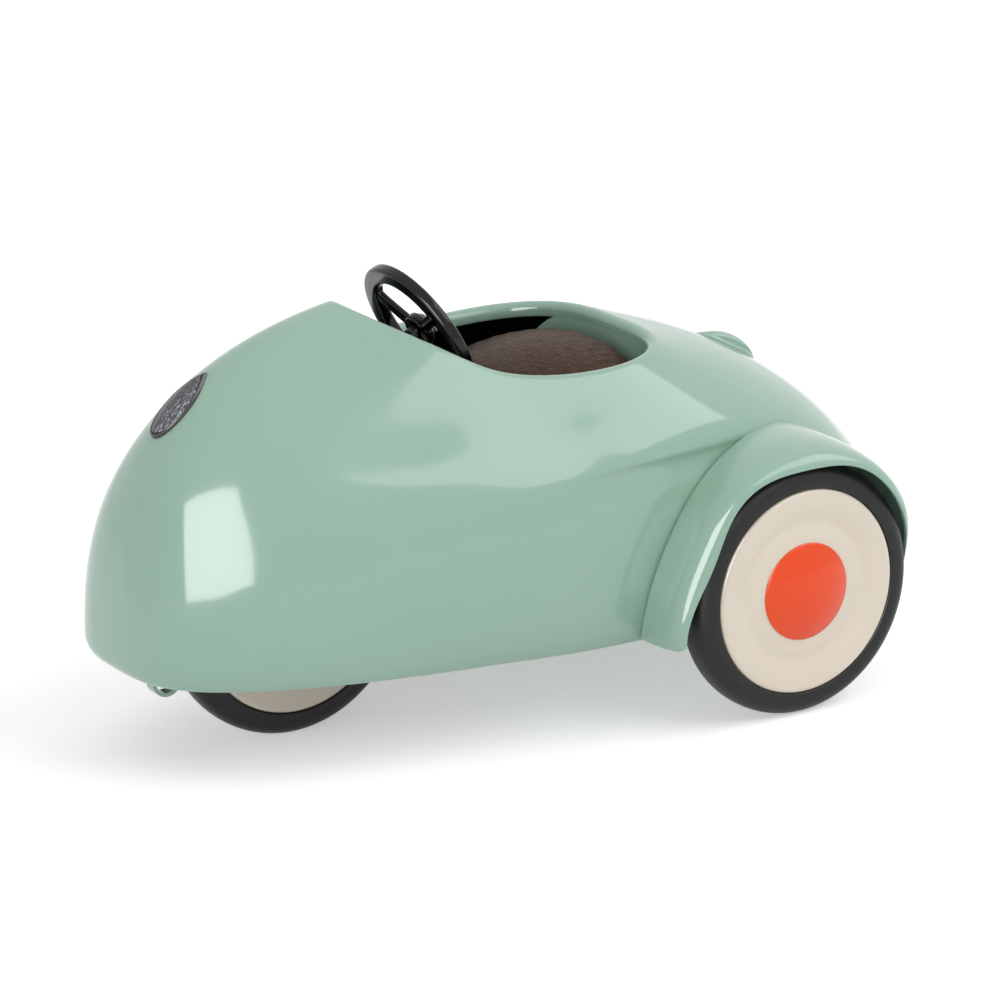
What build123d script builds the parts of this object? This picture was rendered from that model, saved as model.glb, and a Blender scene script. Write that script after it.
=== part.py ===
from build123d import *

import functools
import math
import os

import numpy as np

# Small three-wheeled pedal-car toy of enamelled sheet steel.
# Axes: +X is the car's left, +Y runs to the tail, +Z is up.
# The origin lies on the ground, under the middle of the car.  All sizes are in millimetres.

# ---------------------------------------------------------------- sheets and fits
wall = 0.8              # body shell
plate = 0.8             # flat plates and brackets inside the body
fender_wall = 0.7       # rear wheel covers
running_fit = 0.06      # radial clearance of everything that turns on an axle or in a bush
seam = 0.12             # gap between a plate's edge and the wall that it is welded to
clear = 0.4             # gap beside parts that move

# ---------------------------------------------------------------- body stations
# Stations are evenly spaced round the car, from the nose to the tail, and describe its left half.
# The belt is the widest line of the body, and the rim is the rolled edge of the cockpit.
belt_y = [-81.0, -70.0, -19.5, 9.0, 53.0, 81.0]
belt_half = [17.5, 31.5, 36.0, 35.5, 27.5]
belt_z = [21.0, 26.7, 22.0]
rim_y = [-34.6, -29.6, -18.3, -5.4, 15.2, 25.1, 25.7]
rim_half = [6.8, 15.3, 19.7, 24.0, 20.3, 9.3]
rim_z = [77.9, 73.9, 66.9, 65.0, 66.4, 66.7]
rim_slope = [10.4, 29.1, 54.4, 45.3, 22.6, 11.5]
rim_hold = [0.58, 0.47, 0.42]
belt_hold = [0.39, 0.72, 0.37]
tuck = [3.0, 3.0, 1.0]  # how far the bottom edge turns in under the belt
bottom_z = 16.4
nose_lift = 1.1         # how far the bottom edge rises above that height, at the nose
roll = 1.5              # outer radius of the rolled rim
lip = 0.8               # straight end of the rolled rim
body_sections = 31      # ribs of the pressed surface, evenly spaced like the stations
skin_gap = 0.05         # between the body and a lamp that is soldered on

# ---------------------------------------------------------------- wheels and axles
wheel_radius = 23.6
tyre_width = 8.0
tyre_height = 4.5       # from the steel disc to the tread
tyre_shoulder = 3.6
disc_wall = 0.5
disc_depth = 4.0        # from the wheel's middle plane to the face of a disc
disc_step = 13.6        # radius of the pressed step in the face
step_depth = 0.5
well_radius = 8.0       # centre of the disc, pressed in round the hub
well_depth = 2.4
cap_radius = 9.05
cap_rim = 0.8
cap_crown = 1.1
axle_radius = 1.5
hub_wall = 0.9
front_axle_y = -45.0
rear_axle_y = 37.2
rear_offset = 41.0      # from the centre plane to a rear wheel's middle plane
nut_radius = 2.9
nut_height = 1.2

# ---------------------------------------------------------------- rear wheel covers
# Stations from the foot in front of the wheel, over the top, to the end behind it.
cover_start = 196.0
cover_end = -14.0
crown_radius = [30.2, 27.9, 27.5, 27.5, 27.5, 27.5, 27.3, 27.0]
edge_radius = [28.0, 24.2, 24.7, 24.1, 23.9, 24.1, 24.9, 26.6]
edge_x = [46.3, 46.6, 46.6, 46.6, 46.6, 46.6, 43.0, 38.5]
foot_x = [35.0, 38.0, 41.0, 43.5, 45.1, 45.9, 46.3, 46.5]   # the foot's lower edge, from the body out
foot_z = [17.4, 17.6, 17.7, 17.8, 17.9, 18.3, 19.2, 21.0]
tab_width = 3.0
tab_reach = 2.4         # how far a tab stands inside the body wall
tab_angles = [160.0, 110.0, 60.0]

# ---------------------------------------------------------------- floor, seat and lamps
floor_front_y = -14.0
floor_rear_y = 62.0
nose_plate_rear_y = -68.6
cradle_half = 20.0
cradle_length = 12.0
seat_pan_z = 51.2
seat_front_y = -6.5
seat_half = 20.4
seat_top_z = 64.4
seat_crown_radius = 53.0
seat_gap = 0.6          # between the cushion and the tub
tub_start = 126.0       # station angle where the tub wall begins beside the seat
tub_full = 142.0        # station angle from which the wall reaches the rolled rim
tub_front_height = 4.3  # of the wall above the seat pan where it begins
lamp_y = -66.0
lamp_z = 64.6
lamp_length = 14.0
lamp_half = 3.9
lamp_lean = 48.0        # of the lamp's axis below the horizontal
lamp_rim = 0.7
lamp_height = 1.3
tail_lamp_y = 49.4
tail_lamp_length = 15.4
tail_lamp_radius = 3.6
tail_lamp_sink = 1.6    # of the lamp's axis below the body's surface
loop_y = -70.1
loop_radius = 2.9
loop_wall = 0.7
loop_width = 2.5
loop_bottom_z = 11.4

# ---------------------------------------------------------------- steering
wheel_y = -17.6         # centre of the steering wheel's rim
wheel_above_tiller = 16.24
column_lean = 29.0      # of the column below the horizontal
rim_radius = 13.9
rim_width = 3.4
rim_depth = 2.3
spoke_width = 2.6
spoke_depth = 1.3
spoke_angles = [90.0, 210.0, 330.0]     # from the left, the first one straight down
hub_radius = 3.2
column_radius = 1.5
column_bearing = 17.0   # along the column, from the steering wheel to the bearing's middle
bearing_length = 3.0
bridge_half = 3.2       # half height of the plate that carries the bearing
collar_length = 1.3
crank_radius = 4.5
crank_wall = 1.4
crank_pin_radius = 0.7
tiller_reach = 9.4
tiller_width = 6.4
slot_width = 3.0
fork_wall = 1.0
fork_width = 6.0
fork_gap = 1.0          # between the tyre and the fork, at the side and above
head_height = 0.6
king_pin_radius = 1.5
bush_wall = 0.9
washer = 0.6
steering_range = 50.0   # of the column, each way from straight ahead
pin_overhang = 0.4      # of the crank pin past the tiller's ear
rivet_radius = 0.9
rivet_head = 1.7

disc_radius = wheel_radius - tyre_height
bore_radius = axle_radius + running_fit
sleeve_radius = bore_radius + hub_wall      # hubs and spacers on the axles
half_tyre = tyre_width / 2
floor_z = bottom_z                          # underside of the floor, flush with the body's edge
nose_floor_z = bottom_z + nose_lift
X_AXIS = Vector(1, 0, 0)
UP = Vector(0, 0, 1)
lean = math.radians(column_lean)
COLUMN = Vector(0, -math.cos(lean), -math.sin(lean))    # down the column, from the driver
BELOW = Vector(0, math.sin(lean), -math.cos(lean))      # square to the column, downwards
fork_inside = half_tyre + fork_gap
crown_z = 2 * wheel_radius + fork_gap + head_height     # underside of the fork's crown
bridge_z = crown_z + fork_wall + washer
bush_top = bridge_z + plate + 2.2
tiller_z = bush_top + running_fit
rim_centre = Vector(0, wheel_y, tiller_z + wheel_above_tiller)
king_pin_top = tiller_z + plate + 2.2
crank_start = column_bearing + bearing_length / 2 + 0.2


# ================================================================ body surface
def around(values, angle):
    """Cosine series through stations evenly spaced from nose to tail, at angles in radians."""
    order = np.arange(len(values))
    stations = np.pi * order / order[-1]
    weights = np.linalg.solve(np.cos(np.outer(stations, order)), values)
    return np.cos(np.multiply.outer(angle, order)) @ weights


def across(halves, angle):
    """Sine series through half widths, which are zero at the nose and at the tail."""
    order = np.arange(1, len(halves) + 1)
    stations = np.pi * order / (len(halves) + 1)
    weights = np.linalg.solve(np.sin(np.outer(stations, order)), halves)
    return np.sin(np.multiply.outer(angle, order)) @ weights


def rib(angle):
    """The upright plane from a rim point outwards to the belt, with the sizes that guide it."""
    rim = np.array([across(rim_half, angle), around(rim_y, angle)])
    belt = np.array([across(belt_half, angle), around(belt_y, angle)])
    reach = float(np.hypot(*(belt - rim)))
    return {
        "rim": rim,
        "out": (belt - rim) / reach,
        "reach": reach,
        "rim_z": float(around(rim_z, angle)),
        "belt_z": float(around(belt_z, angle)),
        "slope": math.radians(float(around(rim_slope, angle))),
        "rim_hold": float(around(rim_hold, angle)),
        "belt_hold": float(around(belt_hold, angle)),
        "tuck": float(around(tuck, angle)),
        "bottom": bottom_z + nose_lift * max(0.0, math.cos(angle)) ** 1.25,
    }


def flank(r, offset):
    """Four Bezier points, in the rib's plane, from the rolled rim down to the belt."""
    slope = r["slope"]
    start = np.array([math.sin(slope), math.cos(slope)]) * (roll + offset)
    start[1] += r["rim_z"] - roll
    end = np.array([r["reach"] + offset, r["belt_z"]])
    span = float(np.hypot(*(end - start)))
    drop = start[1] - end[1]
    leave = start + r["rim_hold"] * span * np.array([math.cos(slope), -math.sin(slope)])
    arrive = end + np.array([0.0, r["belt_hold"] * drop])
    return [start, leave, arrive, end]


def hem(r, offset):
    """Four Bezier points from the belt down and in to the bottom edge: a quarter ellipse."""
    round_hold = 0.55
    end = np.array([r["reach"] - r["tuck"], r["bottom"] - offset])
    start = np.array([r["reach"] + offset, r["belt_z"]])
    drop = np.array([0.0, round_hold * (start[1] - end[1])])
    side = np.array([round_hold * (start[0] - end[0]), 0.0])
    return [start, start - drop, end + side, end]


def bezier(points, t):
    """Points of a cubic Bezier at parameters t."""
    t = np.asarray(t)[:, None]
    a, b, c, d = points
    return (1 - t) ** 3 * a + 3 * (1 - t) ** 2 * t * b + 3 * (1 - t) * t**2 * c + t**3 * d


@functools.lru_cache(maxsize=None)
def wall_lines(offset):
    """Plan positions of the wall, rib by rib, as (rib, its points down to the bottom edge)."""
    t = np.linspace(0, 1, 41)
    lines = []
    for angle in np.linspace(0, np.pi, 73):
        r = rib(angle)
        line = np.concatenate([bezier(flank(r, offset), t), bezier(hem(r, offset), t)[1:]])
        lines.append((r, line[::-1]))
    return lines


def half_width(y, z, offset=0.0):
    """Half width of the body at a place along the car and a height, offset from its outer face."""
    plan = [r["rim"] + r["out"] * np.interp(z, line[:, 1], line[:, 0]) for r, line in wall_lines(offset)]
    plan = np.array(plan)
    order = np.argsort(plan[:, 1])
    return float(np.interp(y, plan[order, 1], plan[order, 0]))


def in_space(r, point):
    """A point of a rib's plane in the car's axes."""
    x, y = r["rim"] + r["out"] * point[0]
    return Vector(float(x), float(y), float(point[1]))


def section(r, pieces):
    """A closed wire in a rib's plane from runs of two, three or four points."""
    edges = []
    for run in pieces:
        points = [in_space(r, p) for p in run]
        if len(points) == 2:
            edges.append(Edge.make_line(*points))
        elif len(points) == 3:
            edges.append(Edge.make_three_point_arc(*points))
        else:
            edges.append(Edge.make_bezier(*points))
    return Wire(edges)


def shell_section(angle):
    """The sheet's section: flank, turned-in bottom edge, and the roll and lip of the rim."""
    r = rib(angle)
    outer, inner = flank(r, 0.0), flank(r, -wall)
    outer_hem, inner_hem = hem(r, 0.0), hem(r, -wall)
    centre = np.array([0.0, r["rim_z"] - roll])
    down = np.array([0.0, -lip])

    def rolled(radius, turn):
        return centre + radius * np.array([math.sin(turn), math.cos(turn)])

    middle = (r["slope"] - math.pi / 2) / 2
    outside, inside = rolled(roll, -math.pi / 2), rolled(roll - wall, -math.pi / 2)
    return section(r, [
        outer,
        outer_hem,
        [outer_hem[-1], inner_hem[-1]],
        inner_hem[::-1],
        inner[::-1],
        [inner[0], rolled(roll - wall, middle), inside],
        [inside, inside + down],
        [inside + down, outside + down],
        [outside + down, outside],
        [outside, rolled(roll, middle), outer[0]],
    ])


def skin_section(angle, low, high):
    """Section of a layer that follows the flank between two offsets from the outer face."""
    r = rib(angle)
    outer, inner = flank(r, high), flank(r, low)
    return section(r, [outer, [outer[-1], inner[-1]], inner[::-1], [inner[0], outer[0]]])


def both_sides(half):
    """A half part joined to its mirror image across the centre plane."""
    return half + mirror(half, about=Plane.YZ)


def layer(low, high):
    """The left half of a layer over the whole body, between two offsets from its outer face."""
    angles = np.radians(np.linspace(0, 180, body_sections))
    return Solid.make_loft([skin_section(a, low, high) for a in angles])


# ================================================================ flat and turned work
def deck(front, rear, bottom, thickness, edge):
    """A level plate whose curved sides are given by edge(y), the half width at each place."""
    places = np.linspace(front, rear, 13)
    left = [(edge(y), y) for y in places]
    right = [(-x, y) for x, y in left]
    sides = [Spline(*left), Spline(*right)]
    ends = [Line(left[0], right[0]), Line(left[-1], right[-1])]
    outline = make_face([sides[0], ends[1], sides[1], ends[0]])
    return extrude(Pos(0, 0, bottom) * outline, amount=thickness, dir=(0, 0, 1))


def inner_edge(z):
    """Half width inside the body for a plate at a height, with a seam left to the wall."""
    return lambda y: min(half_width(y, z, -wall), half_width(y, z + plate, -wall)) - seam


def block(x0, x1, y0, y1, z0, z1):
    """A box from its six faces."""
    centre = Pos((x0 + x1) / 2, (y0 + y1) / 2, (z0 + z1) / 2)
    return centre * Box(x1 - x0, y1 - y0, z1 - z0)


def rod(start, along, radius, length):
    """A round bar from a point, along a direction."""
    return extrude(Plane(origin=start, z_dir=along) * Circle(radius), amount=length)


def tube(start, along, outer, inner, length):
    """A round tube from a point, along a direction."""
    ring = Circle(outer) - Circle(inner)
    return extrude(Plane(origin=start, z_dir=along) * ring, amount=length)


def thicken_line(points, thickness):
    """A band of constant thickness on the left of a polyline of points."""
    line = np.array(points, float)
    step = np.diff(line, axis=0)
    step /= np.hypot(step[:, 0], step[:, 1])[:, None]
    side = np.stack([-step[:, 1], step[:, 0]], axis=1)
    mitre = np.concatenate([side[:1], side[:-1] + side[1:], side[-1:]])
    mitre /= np.concatenate([[1.0], 1 + (side[:-1] * side[1:]).sum(1), [1.0]])[:, None]
    shifted = line + thickness * mitre
    return [tuple(p) for p in line] + [tuple(p) for p in shifted[::-1]]


def turned(profile, centre, outward):
    """A profile of (outward, radius) points turned about a wheel's axle."""
    across_axle = Plane(origin=centre, x_dir=(outward, 0, 0), z_dir=(0, -outward, 0))
    face = across_axle * make_face(Polyline(*profile, close=True))
    return revolve(face, axis=Axis(centre, X_AXIS), revolution_arc=360)


# ================================================================ body
def hub_point(side):
    """Middle of a rear wheel, with side 1 for the left and -1 for the right."""
    return Vector(side * rear_offset, rear_axle_y, wheel_radius)


def body_shell():
    """The pressed shell with its rolled cockpit rim, its axle holes and the slots for the cover tabs."""
    angles = np.radians(np.linspace(0, 180, body_sections))
    shell = both_sides(Solid.make_loft([shell_section(a) for a in angles]))
    shell -= rod(hub_point(-1), X_AXIS, sleeve_radius + clear, 2 * rear_offset)
    for side in (-1, 1):
        for angle in tab_angles:
            shell -= cover_tab(side, angle, seam)
    return shell


def cover_section(angle):
    """A wheel cover's section in the plane through the axle at an angle from the tail, in degrees."""
    turn = math.pi * (cover_start - angle) / (cover_start - cover_end)
    crown, edge = float(around(crown_radius, turn)), float(around(edge_radius, turn))
    outer_x = float(around(edge_x, turn))
    a = math.radians(angle)
    reach = [
        half_width(rear_axle_y + radius * math.cos(a), max(wheel_radius + radius * math.sin(a), bottom_z + wall))
        for radius in (crown, crown - fender_wall)
    ]
    inner_x = max(reach) + seam
    width = outer_x - inner_x
    skirt = crown - edge

    def curve(depth):
        return [
            (inner_x, crown - depth),
            (inner_x + 0.62 * width, crown - depth + 0.2),
            (outer_x - depth, crown - depth - 0.1 * skirt),
            (outer_x - depth, edge),
        ]

    def in_car(point):
        x, radius = point
        return Vector(x, rear_axle_y + radius * math.cos(a), wheel_radius + radius * math.sin(a))

    outer = [in_car(p) for p in curve(0.0)]
    inner = [in_car(p) for p in curve(fender_wall)]
    return Wire([
        Edge.make_bezier(*outer),
        Edge.make_line(outer[-1], inner[-1]),
        Edge.make_bezier(*inner[::-1]),
        Edge.make_line(inner[0], outer[0]),
    ])


def cover_tab(side, angle, gap):
    """A tab that passes from a wheel cover through the body wall, grown by a gap for its slot."""
    a = math.radians(angle)
    radius = crown_radius[3] - fender_wall / 2
    y, z = rear_axle_y + radius * math.cos(a), wheel_radius + radius * math.sin(a)
    root = half_width(y, z) + 1.2 * wall
    length = root - half_width(y, z, -wall) + tab_reach
    tab = Box(length, tab_width + 2 * gap, fender_wall + 2 * gap)
    return Pos(side * (root - length / 2), y, z) * Rot(X=angle - 90) * tab


def foot_trim():
    """What is cut from the foot of the left cover, so that it ends in a soft curve with a round corner."""
    edge = [(foot_x[0] - 4, foot_z[0]), *zip(foot_x, foot_z)]
    inner, outer, top = edge[0][0], foot_x[-1] + 2, foot_z[-1]
    round_edge = Polyline(edge[-1], (outer, top), (outer, 0), (inner, 0), edge[0])
    outline = make_face([Spline(*edge), round_edge])
    front = rear_axle_y - crown_radius[0] - 6
    return extrude(Plane(origin=(0, front, 0), x_dir=X_AXIS, z_dir=(0, -1, 0)) * outline, amount=-crown_radius[0])


def wheel_cover():
    """The left rear wheel cover with its tabs."""
    angles = np.linspace(cover_start, cover_end, 22)
    cover = Solid.make_loft([cover_section(a) for a in angles]) - foot_trim()
    for angle in tab_angles:
        cover += cover_tab(1, angle, 0)
    return cover


# ================================================================ wheels
def disc_profile():
    """Pressed half of a wheel: flange under the tyre, face with a step, well round the hub."""
    bend = 0.9
    flange, face = disc_radius, disc_depth
    outer_line = [
        (seam / 2, flange),
        (face - bend, flange),
        (face - 0.3 * bend, flange - 0.3 * bend),
        (face, flange - bend),
        (face, disc_step + 0.6),
        (face - step_depth, disc_step - 0.3),
        (face - step_depth, disc_step - 1.5),
        (face, cap_radius + 0.9),
        (face, well_radius),
        (face - well_depth, well_radius - 1.8),
        (face - well_depth, sleeve_radius),
    ]
    return thicken_line(outer_line, -disc_wall)


def wheel_disc(centre, outward):
    return turned(disc_profile(), centre, outward)


def tyre(centre):
    """A rubber ring with round shoulders, stretched over the flanges of the two discs."""
    bead = disc_radius
    middle = (bead + wheel_radius) / 2
    ring = Plane(origin=centre, x_dir=X_AXIS, z_dir=(0, -1, 0)) * Pos(0, middle) * Rectangle(
        tyre_width, tyre_height)
    shoulders = ring.vertices().sort_by(Axis.Z)
    ring = fillet(shoulders[-2:], tyre_shoulder)
    ring = fillet(ring.vertices().sort_by(Axis.Z)[:2], 0.6)
    return revolve(ring, axis=Axis(centre, X_AXIS), revolution_arc=360)


def hub(centre, length):
    """The steel bush that carries both discs and turns on the axle."""
    return tube(centre - X_AXIS * length / 2, X_AXIS, sleeve_radius, bore_radius, length)


def hub_cap(centre, outward):
    """A domed cap pressed on to the face of a rear wheel."""
    base = disc_depth
    radius = np.linspace(cap_radius - 0.3, 0, 9)
    crown = cap_rim + cap_crown * (1 - (radius / cap_radius) ** 2)
    top = [(base + h, r) for h, r in zip(crown, radius)]
    under = [(base + h - disc_wall, r) for h, r in zip(crown[::-1], radius[::-1])]
    under = [p for p in under if p[1] < cap_radius - 2 * disc_wall]
    rim = [(base, cap_radius - disc_wall), (base, cap_radius), (base + 0.8 * cap_rim, cap_radius)]
    return turned(rim + top + under, centre, outward)


def retainer(start, outward):
    """A push-on nut at an axle's end."""
    return tube(start, X_AXIS * outward, nut_radius, axle_radius, nut_height)


# ================================================================ floor and rear axle
def floor_edge(y):
    return half_width(y, bottom_z) - seam


def rivet_places():
    reach = cradle_half - 4
    return [(x, rear_axle_y + y) for x in (-reach, reach) for y in (-cradle_length / 3, cradle_length / 3)]


def floor_pan():
    """The flat floor behind the front wheel, in the opening of the turned-in bottom edge."""
    pan = deck(floor_front_y, floor_rear_y, floor_z, plate, floor_edge)
    for x, y in rivet_places():
        pan -= rod(Vector(x, y, 0), UP, rivet_radius, 2 * floor_z)
    return pan


def axle_cradle():
    """A channel on the floor, with an upright ear at each end for the rear axle."""
    base_z = floor_z + plate
    ear_top = wheel_radius + 2 * sleeve_radius
    y0, y1 = rear_axle_y - cradle_length / 2, rear_axle_y + cradle_length / 2
    cradle = block(-cradle_half, cradle_half, y0, y1, base_z, base_z + plate)
    for x in (-cradle_half, cradle_half - plate):
        cradle += block(x, x + plate, y0 + 1, y1 - 1, base_z, ear_top)
    cradle -= rod(Vector(-rear_offset, rear_axle_y, wheel_radius), X_AXIS, axle_radius, 2 * rear_offset)
    for x, y in rivet_places():
        cradle -= rod(Vector(x, y, 0), UP, rivet_radius, 2 * floor_z)
    return cradle


def floor_rivets():
    """Four rivets, flush under the floor, with their heads on the cradle."""
    top = floor_z + 2 * plate
    rivets = []
    for x, y in rivet_places():
        shank = rod(Vector(x, y, floor_z), UP, rivet_radius, top - floor_z)
        head = rod(Vector(x, y, top), UP, rivet_head, 0.7)
        rivets.append(shank + chamfer(head.edges().group_by(Axis.Z)[-1], 0.4))
    return Compound(rivets)


def rear_axle():
    """The fixed rear axle, through both ears of the cradle."""
    end = rear_offset + disc_depth - cap_rim
    return rod(Vector(-end, rear_axle_y, wheel_radius), X_AXIS, axle_radius, 2 * end)


def axle_spacer(side):
    """A tube on the axle between an ear of the cradle and a wheel's hub."""
    start = cradle_half + seam
    end = rear_offset - half_tyre - seam
    return tube(Vector(side * start, rear_axle_y, wheel_radius), X_AXIS * side, sleeve_radius,
                axle_radius, end - start)


def floor_angles():
    """Four folded angles that tie the floor to the body's wall."""
    leg, width = 4.0, 5.0
    base_z = floor_z + plate
    angles = []
    for y in (floor_front_y + 6, floor_rear_y - 12):
        places = [half_width(v, z, -wall) for v in (y, y + width) for z in (base_z, base_z + leg)]
        x = min(min(places), floor_edge(y), floor_edge(y + width)) - seam
        upright = block(x - plate, x, y, y + width, base_z, base_z + leg)
        angle = upright + block(x - leg, x, y, y + width, base_z, base_z + plate)
        angles += [angle, mirror(angle, about=Plane.YZ)]
    return Compound(angles)


# ================================================================ seat
def seat_pan():
    """The plate under the seat, welded between the body's walls."""
    return deck(seat_front_y - 3, rim_y[-1] + 4, seat_pan_z, plate, inner_edge(seat_pan_z))


def tub_wall():
    """The curved wall behind and beside the seat, upright under the rolled rim."""
    base = seat_pan_z + plate

    def strip(angle):
        r = rib(angle)
        inside, outside = -roll, wall - roll
        full = r["rim_z"] - roll - lip - seam
        ahead = max(0.0, (tub_full - math.degrees(angle)) / (tub_full - tub_start))
        top = full - (full - base - tub_front_height) * ahead**2
        corners = [(inside, base), (inside, top), (outside, top), (outside, base)]
        return section(r, [corners[i:i + 2] for i in range(3)] + [[corners[3], corners[0]]])

    angles = np.radians(np.linspace(tub_start, 180, 15))
    return both_sides(Solid.make_loft([strip(a) for a in angles]))


def tub_plan(gap):
    """Plan of the space inside the tub and the walls in front of it, less a gap all round."""
    side = []
    for angle in np.radians(np.linspace(50, 180, 18)):
        r = rib(angle)
        x, y = r["rim"] - r["out"] * (roll + gap)
        side.append((float(x), float(y)))
    left = Spline(*side, tangents=[(1, 1), (-1, 0)])
    front = Line((-side[0][0], side[0][1]), side[0])
    return make_face([front, left, mirror(left, about=Plane.YZ)])


def seat_outline():
    """Plan of the cushion: straight front, sides that follow the tub to its back."""
    angles = np.radians(np.linspace(tub_start + 3, 180, 8))
    back = []
    for angle in angles:
        r = rib(angle)
        x, y = r["rim"] - r["out"] * (roll + seat_gap)
        back.append((min(float(x), seat_half), float(y)))
    side = (seat_half, back[0][1] - 4)
    corner = 5.0
    left = Spline(side, *back, tangents=[(0, 1), (-1, 0)])
    flank_line = Line((seat_half, seat_front_y + corner), side)
    round_corner = ThreePointArc((seat_half - corner, seat_front_y),
                                 (seat_half - 0.29 * corner, seat_front_y + 0.29 * corner),
                                 (seat_half, seat_front_y + corner))
    half = [round_corner, flank_line, left]
    other = [mirror(e, about=Plane.YZ) for e in half]
    front = Line((-(seat_half - corner), seat_front_y), (seat_half - corner, seat_front_y))
    return make_face(half + other + [front]) & tub_plan(seat_gap / 2)


def seat_cushion():
    """A stuffed pad on the seat pan, with a crowned top."""
    base = seat_pan_z + plate + seam / 2
    pad = extrude(Pos(0, 0, base) * seat_outline(), amount=seat_top_z - base, dir=(0, 0, 1))
    middle_y = (seat_front_y + rim_y[-1]) / 2
    return pad & Pos(0, middle_y, seat_top_z - seat_crown_radius) * Sphere(seat_crown_radius)


# ================================================================ lamps and tow loop
def lamp_outline(grow):
    """A drop: pointed at the top, round at the bottom, grown all round by an amount."""
    top, bottom = lamp_length / 2 + grow, -lamp_length / 2 - grow
    half = lamp_half + grow
    widest = -0.12 * lamp_length
    side = [
        Bezier((0, top), (0.45 * half, top - 0.14 * lamp_length), (half, widest + 0.34 * lamp_length),
               (half, widest)),
        Bezier((half, widest), (half, widest - 0.26 * lamp_length), (0.5 * half, bottom), (0, bottom)),
    ]
    return make_face(side + [mirror(e, about=Plane.YZ) for e in side])


def lamp_column(grow):
    """The drop outline carried through the nose, square to its surface."""
    slant = math.radians(lamp_lean)
    forward = Vector(0, -math.sin(slant), math.cos(slant))
    origin = Vector(0, lamp_y, lamp_z) - forward * 6
    return extrude(Plane(origin=origin, x_dir=X_AXIS, z_dir=forward) * lamp_outline(grow), amount=12)


def left_half(solid):
    """The part of a solid on the car's left of the centre plane."""
    size = 2 * belt_y[-1]
    return solid & Pos(size / 2, 0, size / 2) * Box(size, size, size)


def headlight_bezel():
    """The raised edge round the headlight."""
    ring = lamp_column(0) - lamp_column(-lamp_rim)
    return both_sides(left_half(ring) & layer(skin_gap, 0.7 * lamp_height))


def headlight_lens():
    """The headlight's face inside its edge, slightly proud of it."""
    face = lamp_column(-lamp_rim - skin_gap / 2)
    return both_sides(left_half(face) & layer(skin_gap, lamp_height))


def tail_lamp_housing():
    """A drop-shaped blister on the rear deck, blunt towards the tail."""
    half = tail_lamp_length / 2
    points = [(-half, 0), (-0.3 * half, 0.55), (0.25 * half, 0.95), (0.72 * half, 0.8), (half, 0)]
    line = Spline(*[(u, h * tail_lamp_radius) for u, h in points], tangents=[(1, 0.25), (0.02, -1)])
    drop = revolve(make_face([line, Line((half, 0), (-half, 0))]), axis=Axis.X, revolution_arc=360)
    depth = 1.5 * tail_lamp_sink
    drop &= Pos(0, 0, tail_lamp_radius - depth) * Box(4 * half, 4 * half, 2 * tail_lamp_radius)
    front, rear = deck_height(tail_lamp_y - half), deck_height(tail_lamp_y + half)
    pitch = math.degrees(math.atan2(rear - front, tail_lamp_length))
    top = Pos(0, tail_lamp_y, deck_height(tail_lamp_y) - tail_lamp_sink) * Rot(X=pitch) * Rot(Z=90) * drop
    outside = left_half(top) - layer(-2 * depth, skin_gap)
    return both_sides(outside.solids().sort_by(Axis.Z)[-1])


def deck_height(y):
    """Height of the body on its centre line behind the cockpit."""
    r = rib(math.pi)
    line = bezier(flank(r, 0.0), np.linspace(0, 1, 41))
    return float(np.interp(y, r["rim"][1] + line[:, 0], line[:, 1]))


def nose_plate():
    """A small floor under the nose, slotted for the tow loop."""
    front = belt_y[0] + tuck[0] + 1.6
    plate_body = deck(front, nose_plate_rear_y, nose_floor_z, plate, inner_edge(nose_floor_z))
    return plate_body - loop_stem(seam / 2)


def loop_stem(grow):
    """Both ends of the tow loop's strip, side by side, through the nose plate."""
    half, thick = loop_width / 2 + grow, loop_wall + grow
    bottom = loop_bottom_z + 2 * loop_radius - loop_wall
    return block(-half, half, loop_y - thick, loop_y + thick, bottom, nose_floor_z + plate + 0.8)


def tow_loop():
    """A strip bent into a round eye that hangs under the nose."""
    middle = Vector(-loop_width / 2, loop_y, loop_bottom_z + loop_radius)
    return tube(middle, X_AXIS, loop_radius, loop_radius - loop_wall, loop_width) + loop_stem(0)


# ================================================================ front fork
def front_fork():
    """A strip bent over the front wheel, with a hole in its crown and one in each leg."""
    outside = fork_inside + fork_wall
    leg_end = wheel_radius - fork_width / 2
    y0, y1 = front_axle_y - fork_width / 2, front_axle_y + fork_width / 2
    fork = block(-outside, outside, y0, y1, leg_end, crown_z + fork_wall)
    fork -= block(-fork_inside, fork_inside, y0 - 1, y1 + 1, 0, crown_z)
    bends = fork.edges().filter_by(Axis.Y).group_by(Axis.Z)[-1]
    fork = fillet(bends, 1.2)
    ends = fork.edges().filter_by(Axis.X).group_by(Axis.Z)[0]
    fork = fillet(ends, fork_width / 2 - 0.1)
    fork -= rod(Vector(-outside, front_axle_y, wheel_radius), X_AXIS, axle_radius, 2 * outside)
    return fork - rod(Vector(0, front_axle_y, 0), UP, king_pin_radius, 2 * crown_z)


def king_pin():
    """The pivot of the fork, its head under the crown."""
    head = rod(Vector(0, front_axle_y, crown_z - head_height), UP, king_pin_radius + 1.1, head_height)
    return head + rod(Vector(0, front_axle_y, crown_z), UP, king_pin_radius, king_pin_top - crown_z)


def fork_washer():
    bottom = Vector(0, front_axle_y, crown_z + fork_wall + running_fit / 2)
    return tube(bottom, UP, king_pin_radius + 1.8, king_pin_radius + running_fit, washer - running_fit)


def front_bridge():
    """A plate across the nose that carries the fork's bush."""
    half_length = 7.0
    bridge = deck(front_axle_y - half_length, front_axle_y + half_length, bridge_z, plate,
                  inner_edge(bridge_z))
    return bridge - rod(Vector(0, front_axle_y, 0), UP, king_pin_radius + bush_wall, 2 * bridge_z)


def fork_bush():
    bottom = Vector(0, front_axle_y, bridge_z)
    return tube(bottom, UP, king_pin_radius + bush_wall, king_pin_radius + running_fit, bush_top - bridge_z)


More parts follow.
